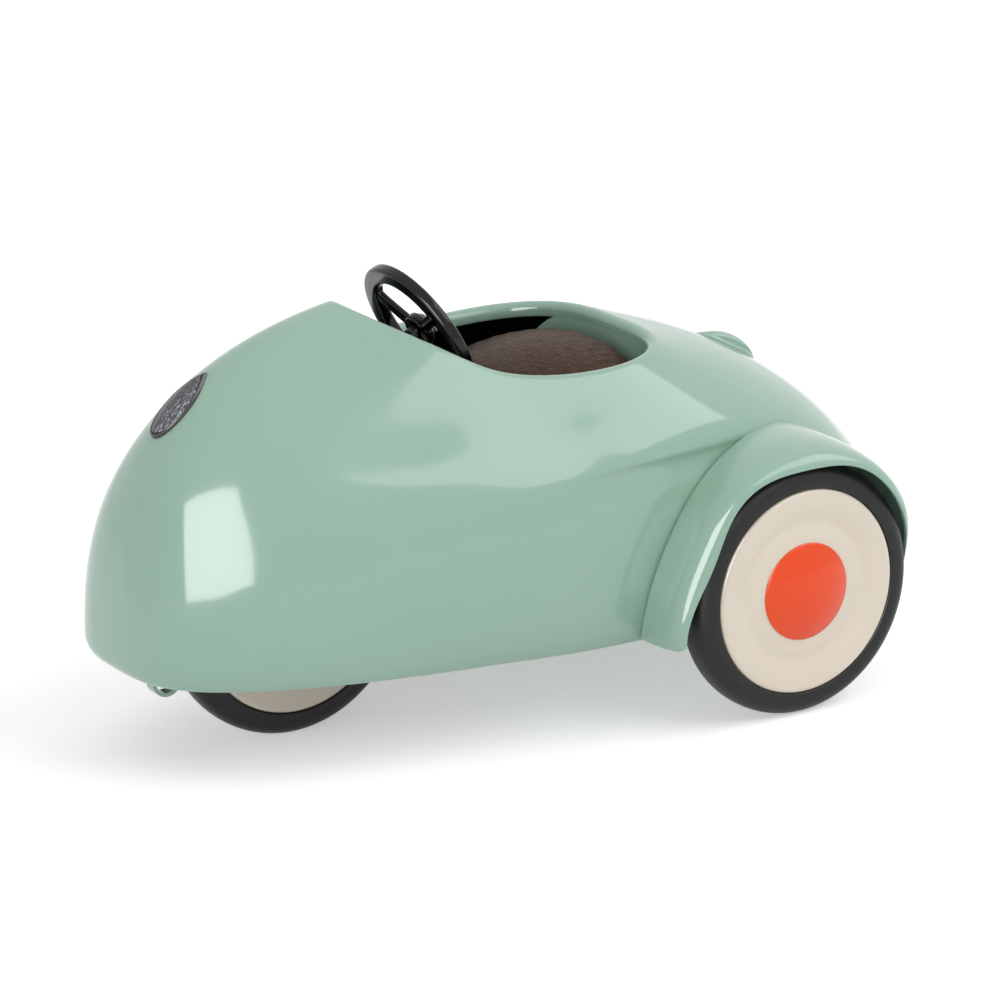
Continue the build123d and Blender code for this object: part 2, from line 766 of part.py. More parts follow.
def tiller():
    """A lever on the king pin, turned up at its end into a slotted ear for the crank pin."""
    root = king_pin_radius + 1.7
    end = front_axle_y + tiller_reach + plate
    pin_z = crank_pin_height(end - plate / 2, 0)
    lever = rod(Vector(0, front_axle_y, tiller_z), UP, root, plate)
    lever += block(-tiller_width / 2, tiller_width / 2, front_axle_y, end, tiller_z, tiller_z + plate)
    top = crank_pin_height(end - plate / 2, steering_range) + crank_pin_radius + clear
    lever += block(-tiller_width / 2, tiller_width / 2, end - plate, end, tiller_z, top)
    bottom = pin_z - crank_pin_radius - clear
    lever -= block(-slot_width / 2, slot_width / 2, end - 2 * plate, end + plate, bottom, top + 1)
    return lever - rod(Vector(0, front_axle_y, 0), UP, king_pin_radius, king_pin_top + 1)


def king_nut():
    bottom = Vector(0, front_axle_y, tiller_z + plate)
    nut = extrude(Plane(origin=bottom, z_dir=UP) * RegularPolygon(nut_radius, 6), amount=1.6)
    return nut - rod(bottom, UP, king_pin_radius, 3)


def front_axle():
    end = fork_inside + fork_wall + nut_height + 0.5
    return rod(Vector(-end, front_axle_y, wheel_radius), X_AXIS, axle_radius, 2 * end)


def front_nuts():
    start = fork_inside + fork_wall
    nuts = []
    for side in (-1, 1):
        base = Vector(side * start, front_axle_y, wheel_radius)
        nut = extrude(Plane(origin=base, z_dir=X_AXIS * side) * RegularPolygon(nut_radius, 6),
                      amount=nut_height)
        nuts.append(nut - rod(base, X_AXIS * side, axle_radius, nut_height))
    return Compound(nuts)


def front_spacers():
    start = half_tyre + running_fit
    length = fork_inside - start - seam / 2
    spacers = []
    for side in (-1, 1):
        base = Vector(side * start, front_axle_y, wheel_radius)
        spacers.append(tube(base, X_AXIS * side, sleeve_radius, bore_radius, length))
    return Compound(spacers)


# ================================================================ steering column
def on_column(distance, below=0.0):
    """A point down the column from the steering wheel, and square below it."""
    return rim_centre + COLUMN * distance + BELOW * below


def crank_pin_height(y, turn):
    """Height of the crank pin's axis where it crosses a plane along the car, at a column turn."""
    below = crank_radius * math.cos(math.radians(turn))
    distance = (wheel_y + below * math.sin(lean) - y) / math.cos(lean)
    return on_column(distance, below).Z


def steering_column():
    return rod(rim_centre, COLUMN, column_radius, crank_start + crank_wall)


def column_crank():
    """A web on the column's end with a pin that works in the tiller's slot."""
    face = Plane(origin=on_column(crank_start), x_dir=X_AXIS, z_dir=COLUMN)
    outline = SlotCenterToCenter(crank_radius, 2 * (column_radius + 0.9))
    below_sign = 1 if (face.y_dir.dot(BELOW) > 0) else -1
    web = extrude(face * Pos(0, below_sign * crank_radius / 2) * Rot(Z=90) * outline, amount=crank_wall)
    web -= rod(on_column(crank_start - 1), COLUMN, column_radius, crank_wall + 2)
    pin_end_y = front_axle_y + tiller_reach - pin_overhang
    pin_start = crank_start + crank_wall
    length = (wheel_y + crank_radius * math.sin(lean) - pin_end_y) / math.cos(lean) - pin_start
    return web + rod(on_column(pin_start, crank_radius), COLUMN, crank_pin_radius, length)


def column_bridge():
    """A plate across the inside of the cowl, square to the column, that carries its bush."""
    corners = [on_column(column_bearing + d, b) for d in (0, plate)
               for b in (-bridge_half, bridge_half)]
    half = min(half_width(p.Y, p.Z, -wall) for p in corners) - seam
    middle = on_column(column_bearing - plate / 2)
    face = Plane(origin=middle, x_dir=X_AXIS, z_dir=COLUMN)
    bar = extrude(face * Rectangle(2 * half, 2 * bridge_half), amount=plate)
    hole = rod(on_column(column_bearing - plate), COLUMN, column_radius + bush_wall, 2 * plate)
    return bar - hole


def column_bush():
    start = on_column(column_bearing - bearing_length / 2)
    return tube(start, COLUMN, column_radius + bush_wall, column_radius + running_fit, bearing_length)


def column_collar():
    start = on_column(column_bearing - bearing_length / 2 - 0.2 - collar_length)
    return tube(start, COLUMN, column_radius + 1.2, column_radius, collar_length)


def steering_wheel():
    """A cast wheel: thick rim, three spokes and a round hub."""
    face = Plane(origin=rim_centre, x_dir=X_AXIS, z_dir=-COLUMN)
    ring = extrude(Circle(rim_radius) - Circle(rim_radius - rim_width), amount=rim_depth)
    ring = fillet(ring.edges(), 0.7)
    mid = Pos(0, 0, (rim_depth - spoke_depth) / 2)
    for angle in spoke_angles:
        length = rim_radius - rim_width / 2
        spoke = Pos(length / 2, 0, spoke_depth / 2) * Box(length, spoke_width, spoke_depth)
        ring += mid * Rot(Z=angle) * spoke
    ring += extrude(Circle(hub_radius), amount=rim_depth)
    ring -= extrude(Circle(column_radius), amount=rim_depth / 2)
    return face * ring


def hub_button():
    """A domed nut on the driver's side of the hub."""
    top = rim_centre - COLUMN * rim_depth
    height = 1.6
    radius = hub_radius - 0.5
    sphere_radius = (radius**2 + height**2) / (2 * height)
    ball = Pos(0, 0, height - sphere_radius) * Sphere(sphere_radius)
    dome = extrude(Circle(radius), amount=height) & ball
    return Plane(origin=top, x_dir=X_AXIS, z_dir=-COLUMN) * dome


# ================================================================ every piece, by name
def pieces():
    """Name and solid of each piece, from the body outwards."""
    cover = wheel_cover()
    yield "body_shell", body_shell()
    yield "wheel_cover_left", cover
    yield "wheel_cover_right", mirror(cover, about=Plane.YZ)
    yield "floor_pan", floor_pan()
    yield "floor_angles", floor_angles()
    yield "axle_cradle", axle_cradle()
    yield "floor_rivets", floor_rivets()
    yield "rear_axle", rear_axle()
    yield "seat_pan", seat_pan()
    yield "tub_wall", tub_wall()
    yield "seat_cushion", seat_cushion()
    yield "headlight_bezel", headlight_bezel()
    yield "headlight_lens", headlight_lens()
    yield "tail_lamp_housing", tail_lamp_housing()
    yield "nose_plate", nose_plate()
    yield "tow_loop", tow_loop()
    for side, name in ((1, "left"), (-1, "right")):
        centre = hub_point(side)
        end = rear_offset + disc_depth - cap_rim - nut_height
        hub_end = end - rear_offset - seam
        yield f"axle_spacer_{name}", axle_spacer(side)
        yield f"rear_tyre_{name}", tyre(centre)
        yield f"rear_disc_outer_{name}", wheel_disc(centre, side)
        yield f"rear_disc_inner_{name}", wheel_disc(centre, -side)
        yield f"rear_hub_{name}", hub(centre - X_AXIS * side * (half_tyre - hub_end) / 2,
                                      half_tyre + hub_end)
        yield f"hub_cap_{name}", hub_cap(centre, side)
        yield f"axle_nut_{name}", retainer(Vector(side * end, rear_axle_y, wheel_radius), side)
    front = Vector(0, front_axle_y, wheel_radius)
    yield "front_tyre", tyre(front)
    yield "front_disc_left", wheel_disc(front, 1)
    yield "front_disc_right", wheel_disc(front, -1)
    yield "front_hub", hub(front, tyre_width)
    yield "front_axle", front_axle()
    yield "front_spacers", front_spacers()
    yield "front_nuts", front_nuts()
    yield "front_fork", front_fork()
    yield "king_pin", king_pin()
    yield "fork_washer", fork_washer()
    yield "fork_bush", fork_bush()
    yield "front_bridge", front_bridge()
    yield "tiller", tiller()
    yield "king_nut", king_nut()
    yield "steering_wheel", steering_wheel()
    yield "hub_button", hub_button()
    yield "steering_column", steering_column()
    yield "column_collar", column_collar()
    yield "column_crank", column_crank()
    yield "column_bridge", column_bridge()
    yield "column_bush", column_bush()


os.makedirs("parts", exist_ok=True)
for name, solid in pieces():
    export_step(solid, f"parts/{name}.step")
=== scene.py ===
"""Looks of a small three-wheeled pedal car of enamelled sheet steel, put together piece by piece.

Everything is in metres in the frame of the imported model: +X is the car's left, +Y runs to the tail,
+Z is up, and the ground is at Z = 0.  Sizes below are written in millimetres and scaled once.
"""

import bmesh
import bpy
import numpy as np
from mathutils import Matrix


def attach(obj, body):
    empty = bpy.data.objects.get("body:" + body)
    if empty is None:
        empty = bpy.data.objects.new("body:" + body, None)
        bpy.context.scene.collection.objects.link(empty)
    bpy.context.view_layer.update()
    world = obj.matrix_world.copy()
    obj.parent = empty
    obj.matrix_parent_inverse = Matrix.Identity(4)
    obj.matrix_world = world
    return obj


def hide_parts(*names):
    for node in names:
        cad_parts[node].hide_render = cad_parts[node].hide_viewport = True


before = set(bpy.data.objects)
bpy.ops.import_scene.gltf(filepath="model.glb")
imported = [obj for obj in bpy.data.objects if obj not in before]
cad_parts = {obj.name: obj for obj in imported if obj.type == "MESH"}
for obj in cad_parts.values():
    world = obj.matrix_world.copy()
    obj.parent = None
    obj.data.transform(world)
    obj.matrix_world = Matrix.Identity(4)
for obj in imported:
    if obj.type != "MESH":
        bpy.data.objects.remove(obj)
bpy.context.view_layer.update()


# ================================================================ pressed body shell
# One deep-drawn steel shell with a closed nose and tail, rolled over round the cockpit and turned in
# along its bottom edge.  It is sprayed with a gloss enamel and stoved, so its reflections are sharp
# but swim a little over the skin of the paint.
MM = 0.001
WALL = 0.8              # steel sheet and its paint
ROLL = 1.5              # radius of the rolled cockpit rim
LIP = 0.8               # straight end of the roll, inside the cockpit
BOTTOM_Z = 16.4


def cosine_series(values, angle):
    """Sum of cosines of 0, 1, 2 ... times the angle that passes through evenly spaced stations."""
    order = np.arange(len(values))
    stations = np.pi * order / order[-1]
    weights = np.linalg.solve(np.cos(np.outer(stations, order)), values)
    return np.cos(np.multiply.outer(angle, order)) @ weights


def sine_series(halves, angle):
    """Sum of sines of 1, 2, 3 ... times the angle through half widths that vanish at both ends."""
    order = np.arange(1, len(halves) + 1)
    stations = np.pi * order / (len(halves) + 1)
    weights = np.linalg.solve(np.sin(np.outer(stations, order)), halves)
    return np.sin(np.multiply.outer(angle, order)) @ weights


def body_ribs(angle):
    """Upright planes that run outwards from the cockpit rim to the belt, the body's widest line.

    The angle goes from 0 at the nose to pi at the tail on the left, and to -pi on the right.
    """
    rim = np.stack([sine_series([6.8, 15.3, 19.7, 24.0, 20.3, 9.3], angle),
                    cosine_series([-34.6, -29.6, -18.3, -5.4, 15.2, 25.1, 25.7], angle)], axis=-1)
    belt = np.stack([sine_series([17.5, 31.5, 36.0, 35.5, 27.5], angle),
                     cosine_series([-81.0, -70.0, -19.5, 9.0, 53.0, 81.0], angle)], axis=-1)
    reach = np.hypot(*(belt - rim).T).T
    return {
        "rim": rim,
        "out": (belt - rim) / reach[..., None],
        "reach": reach,
        "rim_z": cosine_series([77.9, 73.9, 66.9, 65.0, 66.4, 66.7], angle),
        "belt_z": cosine_series([21.0, 26.7, 22.0], angle),
        "slope": np.radians(cosine_series([10.4, 29.1, 54.4, 45.3, 22.6, 11.5], angle)),
        "rim_hold": cosine_series([0.58, 0.47, 0.42], angle),
        "belt_hold": cosine_series([0.39, 0.72, 0.37], angle),
        "tuck": cosine_series([3.0, 3.0, 1.0], angle),
        "bottom": BOTTOM_Z + 1.1 * np.clip(np.cos(angle), 0, 1) ** 1.25,
    }


def bezier(points, t):
    """Cubic Bezier curve of four control points, each (..., 2 or 3), at parameters t."""
    a, b, c, d = points
    t = t[..., None]
    return (1 - t) ** 3 * a + 3 * (1 - t) ** 2 * t * b + 3 * (1 - t) * t**2 * c + t**3 * d


def rib_points(r, t, offset):
    """Points (out, z) down a rib: t from 0 to 1 is the flank, and from 1 to 2 the turned-in hem.

    The flank leaves the roll at the rim's slope and arrives upright at the belt; the hem is a quarter
    of an ellipse.  The offset moves the line off the outer face of the sheet.
    """
    slope = r["slope"]
    start = np.stack([np.sin(slope), np.cos(slope)], -1) * (ROLL + offset + 0 * slope)[..., None]
    start[..., 1] += r["rim_z"] - ROLL
    belt = np.stack([r["reach"] + offset, r["belt_z"]], -1)
    span = np.hypot(*(belt - start).T).T
    leave = start + (r["rim_hold"] * span)[..., None] * np.stack([np.cos(slope), -np.sin(slope)], -1)
    arrive = belt + np.stack([0 * span, r["belt_hold"] * (start - belt)[..., 1]], -1)
    end = np.stack([r["reach"] - r["tuck"], r["bottom"] - offset], -1)
    round_hold = 0.55
    below = belt - np.stack([0 * span, round_hold * (belt - end)[..., 1]], -1)
    beside = end + np.stack([round_hold * (belt - end)[..., 0], 0 * span], -1)
    flank = bezier([start, leave, arrive, belt], np.clip(t, 0, 1))
    hem = bezier([belt, below, beside, end], np.clip(t - 1, 0, 1))
    return np.where(t[..., None] <= 1, flank, hem)


def in_car(r, point):
    """Rib points (out, z) in the car's axes."""
    plan = r["rim"] + r["out"] * point[..., :1]
    return np.concatenate([plan, point[..., 1:]], axis=-1)


def body_surface(angle, t, offset=0.0):
    """The body's skin at rib angles and at t down the ribs; both are arrays of one shape."""
    r = body_ribs(angle)
    return in_car(r, rib_points(r, t, offset))


def arc(centre, radius, first, last, count):
    """Points on a circle in (out, z), its angles measured from straight up towards the outside."""
    turn = first + (last - first) * np.linspace(0, 1, count)[:, None]
    return centre + radius * np.concatenate([np.sin(turn), np.cos(turn)], -1)


def side_crease(points):
    """The pressed line on each side, from the cowl back to the wheel cover.

    Above the line the sheet swells by a smooth hump, and below it a hollow fades out downwards; both
    grow from nothing at the front end.
    """
    x, y, z = points[..., 0], points[..., 1], points[..., 2]
    line_z = 47.0 + 4.0 / (1 + np.exp(-(y + 4) / 5))
    above = z - line_z
    swell = np.exp(-np.where(above > 0, above / 7.0, above / 0.9) ** 2)
    hollow = np.exp(-((above + 3.2) / 2.6) ** 2)
    grow = np.clip((y + 30) / 40, 0, 1) ** 1.5 * np.clip((52 - y) / 14, 0, 1)
    depth = grow * (0.75 * swell - 0.45 * hollow)
    moved = points.copy()
    moved[..., 0] += np.sign(x) * depth * (np.abs(x) > 15)
    return moved


def body_grid(ribs, down):
    """Closed loops of the sheet's section, rib by rib all round the car: a ring-shaped surface.

    Each loop runs down the outer face, round the bottom edge, up the inner face, and over the roll and
    the lip of the rim.
    """
    angle = np.linspace(-np.pi, np.pi, ribs, endpoint=False)
    r = {name: value[:, None] for name, value in body_ribs(angle).items()}
    t = np.concatenate([np.linspace(0, 1, down, endpoint=False), np.linspace(1, 2, down // 3)])
    t = np.broadcast_to(t, (ribs, len(t)))
    outer, inner = rib_points(r, t, 0.0), rib_points(r, t[:, ::-1], -WALL)
    end = (outer[:, -1:] + inner[:, :1]) / 2
    turn = np.linspace(0, np.pi, 7)[None, 1:-1, None]
    edge = end + WALL / 2 * np.concatenate([-np.sin(turn), -np.cos(turn)], -1)
    centre = np.stack([0 * r["rim_z"], r["rim_z"] - ROLL], -1)
    slope = r["slope"][..., None]
    inside = arc(centre, ROLL - WALL, slope, -np.pi / 2, 9)[:, 1:]
    outside = arc(centre, ROLL, -np.pi / 2, slope, 15)[:, :-1]
    down_lip = np.linspace(0, LIP, 3)[None, :, None] * np.array([0, -1])
    tip = centre + np.array([-(ROLL - WALL / 2), -LIP])
    round_tip = tip + WALL / 2 * np.concatenate([np.cos(turn), -np.sin(turn)], -1)
    lip_in, lip_out = inside[:, -1:] + down_lip[:, 1:], outside[:, :1] + down_lip[:, ::-1][:, :-1]
    loop = np.concatenate([outer, edge, inner, inside, lip_in, round_tip, lip_out, outside], axis=1)
    return side_crease(in_car(r, loop))


def ring_faces(rows, columns, wrap_rows, wrap_columns):
    """Corner numbers of the quads between neighbouring points of a grid, closed round where it wraps."""
    i, j = np.arange(rows if wrap_rows else rows - 1), np.arange(columns if wrap_columns else columns - 1)
    i, j = np.meshgrid(i, j, indexing="ij")
    a, b = i, (i + 1) % rows
    c, d = j, (j + 1) % columns
    return np.stack([a * columns + c, a * columns + d, b * columns + d, b * columns + c], -1).reshape(-1, 4)


def sheet_mesh(name, grids, wraps, inside=None):
    """One smooth closed object from grids of points in millimetres.

    Rows that run together in one point or line are merged there, and every face is turned outwards.
    Points that are marked as inside keep the mark in an attribute, which the enamel turns dark as painted
    shade.
    """
    points = np.concatenate([grid.reshape(-1, 3) for grid in grids])
    starts = np.cumsum([0] + [grid.shape[0] * grid.shape[1] for grid in grids])
    faces = [ring_faces(*grid.shape[:2], *wrap) + start for grid, wrap, start in zip(grids, wraps, starts)]
    mesh = bpy.data.meshes.new(name)
    mesh.from_pydata((points * MM).tolist(), [], np.concatenate(faces).tolist())
    if inside is not None:
        mesh.attributes.new("inside", "FLOAT", "POINT").data.foreach_set("value", inside.ravel())
    bm = bmesh.new()
    bm.from_mesh(mesh)
    bmesh.ops.remove_doubles(bm, verts=bm.verts, dist=0.002 * MM)
    bmesh.ops.recalc_face_normals(bm, faces=bm.faces)
    bm.to_mesh(mesh)
    bm.free()
    mesh.shade_smooth()
    piece = bpy.data.objects.new(name, mesh)
    bpy.context.scene.collection.objects.link(piece)
    return piece


def dress(piece, material, rides_on, *stands_for):
    """Gives a new piece its finish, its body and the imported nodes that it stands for."""
    piece.data.materials.append(material)
    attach(piece, rides_on)
    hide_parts(*stands_for)
    return piece


def rgb(code):
    """Linear colour of an sRGB hex value."""
    value = np.array([int(code[k:k + 2], 16) / 255 for k in (1, 3, 5)])
    linear = np.where(value <= 0.04045, value / 12.92, ((value + 0.055) / 1.055) ** 2.4)
    return (*linear.tolist(), 1.0)


def node(material, kind, links=None, **settings):
    """Adds a shader node: plain settings are attributes, and links maps an input to a value or a socket."""
    tree = material.node_tree
    made = tree.nodes.new(kind)
    for name, value in settings.items():
        setattr(made, name, value)
    for key, value in (links or {}).items():
        if isinstance(value, bpy.types.NodeSocket):
            tree.links.new(value, made.inputs[key])
        else:
            made.inputs[key].default_value = value
    return made


def finish_material(material, shader, normal=None):
    """Joins the shader, and the bump under it, to the material's output."""
    if normal is not None:
        material.node_tree.links.new(normal, shader.inputs["Normal"])
    node(material, "ShaderNodeOutputMaterial", {"Surface": shader.outputs["BSDF"]})
    return material


def new_material(name):
    material = bpy.data.materials.new(f"{name}_finish")
    material.use_nodes = True
    material.node_tree.nodes.clear()
    return material


def stoved_enamel(name, colour, shade, roughness=0.12, mirror=0.5):
    """Stoved gloss enamel on steel: even colour that drifts a little, and a skin that swims slightly.

    Two noises act in object space: a broad one of about 25 mm drifts the colour, and a 2 mm one gives
    the faint orange peel of sprayed paint.  Faces marked as inside turn nearly black, a painted shade.
    """
    material = new_material(name)
    place = node(material, "ShaderNodeTexCoord").outputs["Object"]
    drift = node(material, "ShaderNodeTexNoise", {"Vector": place, "Scale": 40.0, "Detail": 2.0})
    tint = node(material, "ShaderNodeMix", {"Factor": drift.outputs["Fac"], 6: rgb(colour), 7: rgb(shade)},
                data_type="RGBA")
    # Painted shade: points marked as inside are mixed to a near-black green, standing in for the shade deep
    # in the cockpit and under the body.
    marked = node(material, "ShaderNodeAttribute", attribute_name="inside").outputs["Fac"]
    tint = node(material, "ShaderNodeMix", {"Factor": marked, 6: tint.outputs[2], 7: rgb("#141A17")},
                data_type="RGBA")
    peel = node(material, "ShaderNodeTexNoise", {"Vector": place, "Scale": 420.0, "Detail": 1.0})
    bump = node(material, "ShaderNodeBump", {"Height": peel.outputs["Fac"], "Strength": 0.05,
                                             "Distance": 0.0001})
    shader = node(material, "ShaderNodeBsdfPrincipled", {
        "Base Color": tint.outputs[2], "Roughness": roughness, "IOR": 1.5,
        "Specular IOR Level": mirror, "Coat Weight": 0.7 * mirror, "Coat Roughness": 0.04})
    return finish_material(material, shader, bump.outputs["Normal"])


green_enamel = stoved_enamel("green_enamel", "#93B3A2", "#8DAE9C", mirror=0.38)
skin = body_grid(ribs=360, down=66)
INNER_FACE = slice(90, 188)     # of each loop's points: from the bottom edge up to the roll
# The inner face of the sheet is marked, so that the enamel paints it nearly black there as painted shade.
painted_shade = np.zeros(skin.shape[:2])
painted_shade[:, INNER_FACE] = 1.0
body = sheet_mesh("body_skin", [skin], [(True, True)], painted_shade)
dress(body, green_enamel, "body", "body_shell")


# ================================================================ rear wheel covers
# A pressed half-round cover over each rear wheel, welded to the body's side after a tight bend, with
# a soft outer edge and a foot that ends in a curve in front of the wheel.  Sprayed with the body.
COVER_WALL = 0.7
WHEEL_RADIUS = 23.6
REAR_AXLE = np.array([41.0, 37.2, WHEEL_RADIUS])
BEND_SHARE = 0.15       # of the width across the sheet, for the bend at the body
COVER_START, COVER_END = 196.0, -14.0
CROWN_RADIUS = [30.2, 27.9, 27.5, 27.5, 27.5, 27.5, 27.3, 27.0]


def on_side(y, z):
    """Half width of the body's skin at places along it, found by Newton's steps down and along the ribs."""
    angle, t = np.full(y.shape, 1.9), np.full(y.shape, 0.7)
    small = 1e-4
    for _ in range(12):
        here = body_surface(angle, t)
        miss = np.stack([y - here[..., 1], z - here[..., 2]], -1)
        along = ((body_surface(angle + small, t) - here) / small)[..., 1:]
        down = ((body_surface(angle, t + small) - here) / small)[..., 1:]
        jacobian = np.stack([along, down], -1)
        step = np.linalg.solve(jacobian, miss[..., None])[..., 0]
        angle = np.clip(angle + np.clip(step[..., 0], -0.2, 0.2), 0.1, 3.1)
        t = np.clip(t + np.clip(step[..., 1], -0.2, 0.2), 0.02, 1.9)
    return body_surface(angle, t)[..., 0]


def cover_points(angle, across, depth):
    """The cover at angles about the axle in degrees, at 0 to 1 across it, and at a depth in the sheet.

    The section rises from the body in a quarter round, runs outwards as a Bezier curve, and ends in
    a skirt; its radii are cosine series of the angle.
    """
    turn = np.pi * (COVER_START - angle) / (COVER_START - COVER_END)
    crown = cosine_series(CROWN_RADIUS, turn)
    edge = cosine_series([28.0, 24.2, 24.7, 24.1, 23.9, 24.1, 24.9, 26.6], turn)
    outer_x = cosine_series([46.3, 46.6, 46.6, 46.6, 46.6, 46.6, 43.0, 38.5], turn)
    table = np.linspace(COVER_END - 2, COVER_START + 2, 60)
    radians = np.radians(table)
    table_crown = cosine_series(CROWN_RADIUS, np.pi * (COVER_START - table) / (COVER_START - COVER_END))
    root_z = np.maximum(REAR_AXLE[2] + table_crown * np.sin(radians), BOTTOM_Z + WALL)
    root = on_side(REAR_AXLE[1] + table_crown * np.cos(radians), root_z)
    inner_x = np.interp(angle, table, root) - 0.2
    bend = 1.1
    width = outer_x - inner_x - bend
    skirt = crown - edge
    s = np.clip((across - BEND_SHARE) / (1 - BEND_SHARE), 0, 1)
    quarter = np.pi / 2 * np.clip(across / BEND_SHARE, 0, 1)
    curve = bezier([
        np.stack([inner_x + bend, crown - depth], -1),
        np.stack([inner_x + bend + 0.62 * width, crown - depth + 0.2], -1),
        np.stack([outer_x - depth, crown - depth - 0.1 * skirt], -1),
        np.stack([outer_x - depth, edge + 0 * depth], -1)], s)
    bent = np.stack([inner_x + bend - (bend - depth) * np.cos(quarter),
                     crown - bend + (bend - depth) * np.sin(quarter)], -1)
    flat = np.where(across[..., None] < BEND_SHARE, bent, curve)
    a = np.radians(angle)
    return np.stack([flat[..., 0], REAR_AXLE[1] + flat[..., 1] * np.cos(a),
                     REAR_AXLE[2] + flat[..., 1] * np.sin(a)], -1)


def foot_angle(across):
    """Angle at which the cover meets its curved lower edge, a line of heights over the width."""
    angle = np.linspace(COVER_START, 150, 300)[:, None] + 0 * across
    spot = cover_points(angle, across + 0 * angle, 0 * angle + COVER_WALL / 2)
    edge_z = np.interp(spot[..., 0], [31.0, 35.0, 38.0, 41.0, 43.5, 45.1, 45.9, 46.3, 46.5],
                       [17.4, 17.4, 17.6, 17.7, 17.8, 17.9, 18.3, 19.2, 21.0])
    above = spot[..., 2] > edge_z
    return angle[np.argmax(above, axis=0), np.arange(across.size)]


def cover_grid(side):
    """Loops across the sheet, from the foot over the wheel to the rear end, closed at both ends."""
    across = np.linspace(0, 1, 60)
    rim = np.linspace(0, np.pi, 7)[1:-1]
    loop_across = np.concatenate([across, np.ones(5), across[::-1]])
    loop_depth = np.concatenate([0 * across, COVER_WALL / 2 * (1 - np.cos(rim)), 0 * across + COVER_WALL])
    close = np.linspace(0, np.pi / 2, 5)
    along = np.concatenate([np.zeros(4), np.linspace(0, 1, 200), np.ones(4)])
    pinch = np.concatenate([close[:0:-1], np.zeros(200), close[1:]])
    start, end = foot_angle(loop_across), COVER_END
    angle = start + (end - start) * along[:, None]
    reach = np.degrees(COVER_WALL / 2 / CROWN_RADIUS[-1]) * np.sin(pinch)
    reach[:4] *= -1
    angle = angle - reach[:, None]
    depth = COVER_WALL / 2 + (loop_depth - COVER_WALL / 2) * np.cos(pinch)[:, None]
    grid = cover_points(angle, loop_across + 0 * angle, depth)
    return grid * np.array([side, 1, 1])


for side, name in ((1, "left"), (-1, "right")):
    cover = sheet_mesh(f"cover_{name}", [cover_grid(side)], [(False, True)])
    dress(cover, green_enamel, "body", f"wheel_cover_{name}")


# ================================================================ wheels
# Each wheel is two pressed steel discs, enamelled cream, with a rubber ring stretched over their
# flanges.  The face has a round bead at its edge, a shallow groove, and a flat where the cap sits.
def turned(name, profile, centre, side, count=180, closed=True):
    """A profile of (outwards, radius) points turned about an axle through a centre point."""
    turn = np.linspace(0, 2 * np.pi, count, endpoint=False)[:, None]
    out, radius = np.asarray(profile, float).T
    grid = np.stack([centre[0] + side * out + 0 * turn, centre[1] + radius * np.cos(turn),
                     centre[2] + radius * np.sin(turn)], -1)
    return sheet_mesh(name, [grid], [(True, closed)])


def smooth_line(points, count):
    """Catmull-Rom spline through points, sampled evenly in its parameter."""
    points = np.asarray(points, float)
    ends = np.concatenate([[2 * points[0] - points[1]], points, [2 * points[-1] - points[-2]]])
    t = np.linspace(0, len(points) - 1, count)
    k = np.minimum(t.astype(int), len(points) - 2)
    f = (t - k)[:, None]
    a, b, c, d = ends[k], ends[k + 1], ends[k + 2], ends[k + 3]
    return 0.5 * (2 * b + (c - a) * f + (2 * a - 5 * b + 4 * c - d) * f**2 + (3 * b - a - 3 * c + d) * f**3)


disc_face = smooth_line([(0.1, 19.1), (2.9, 19.1), (3.8, 18.95), (4.15, 18.5), (4.2, 18.0), (4.15, 17.0),
                         (4.0, 15.6), (3.75, 14.5), (3.45, 13.6), (3.32, 12.9), (3.38, 12.2), (3.5, 11.4),
                         (3.55, 10.3), (3.55, 9.0), (3.5, 8.3), (3.0, 7.4), (2.0, 6.3), (1.6, 5.2),
                         (1.6, 2.5)], 150)
disc_back = disc_face - np.array([0.5, 0.0])
disc_back[:, 1] = np.minimum(disc_back[:, 1], 18.6)
disc_back[:, 0] = np.maximum(disc_back[:, 0], 0.1)
disc_profile = np.concatenate([disc_face, disc_back[::-1]])

# The tyre: a moulded ring with a slightly crowned tread and round shoulders.
theta = np.linspace(-np.pi / 2, np.pi / 2, 61)
tread = np.stack([np.sign(np.sin(theta)) * 4.0 * np.abs(np.sin(theta)) ** 0.75,
                  19.6 + 4.0 * np.abs(np.cos(theta)) ** 0.7], -1)
bead = smooth_line([(3.96, 19.3), (3.7, 19.1), (3.0, 19.1), (0.0, 19.1), (-3.0, 19.1), (-3.7, 19.1),
                    (-3.96, 19.3)], 40)
tyre_profile = np.concatenate([tread, bead])


def pressed_wheel(name, centre, body_name, discs, tyre_node):
    """The tyre and both discs of one wheel."""
    ring = turned(f"tyre_{name}", tyre_profile, centre, 1, count=240)
    dress(ring, black_rubber, body_name, tyre_node)
    for side, disc_node in discs:
        disc = turned(f"disc_{disc_node}", disc_profile, centre, side, count=240)
        dress(disc, cream_enamel, body_name, disc_node)


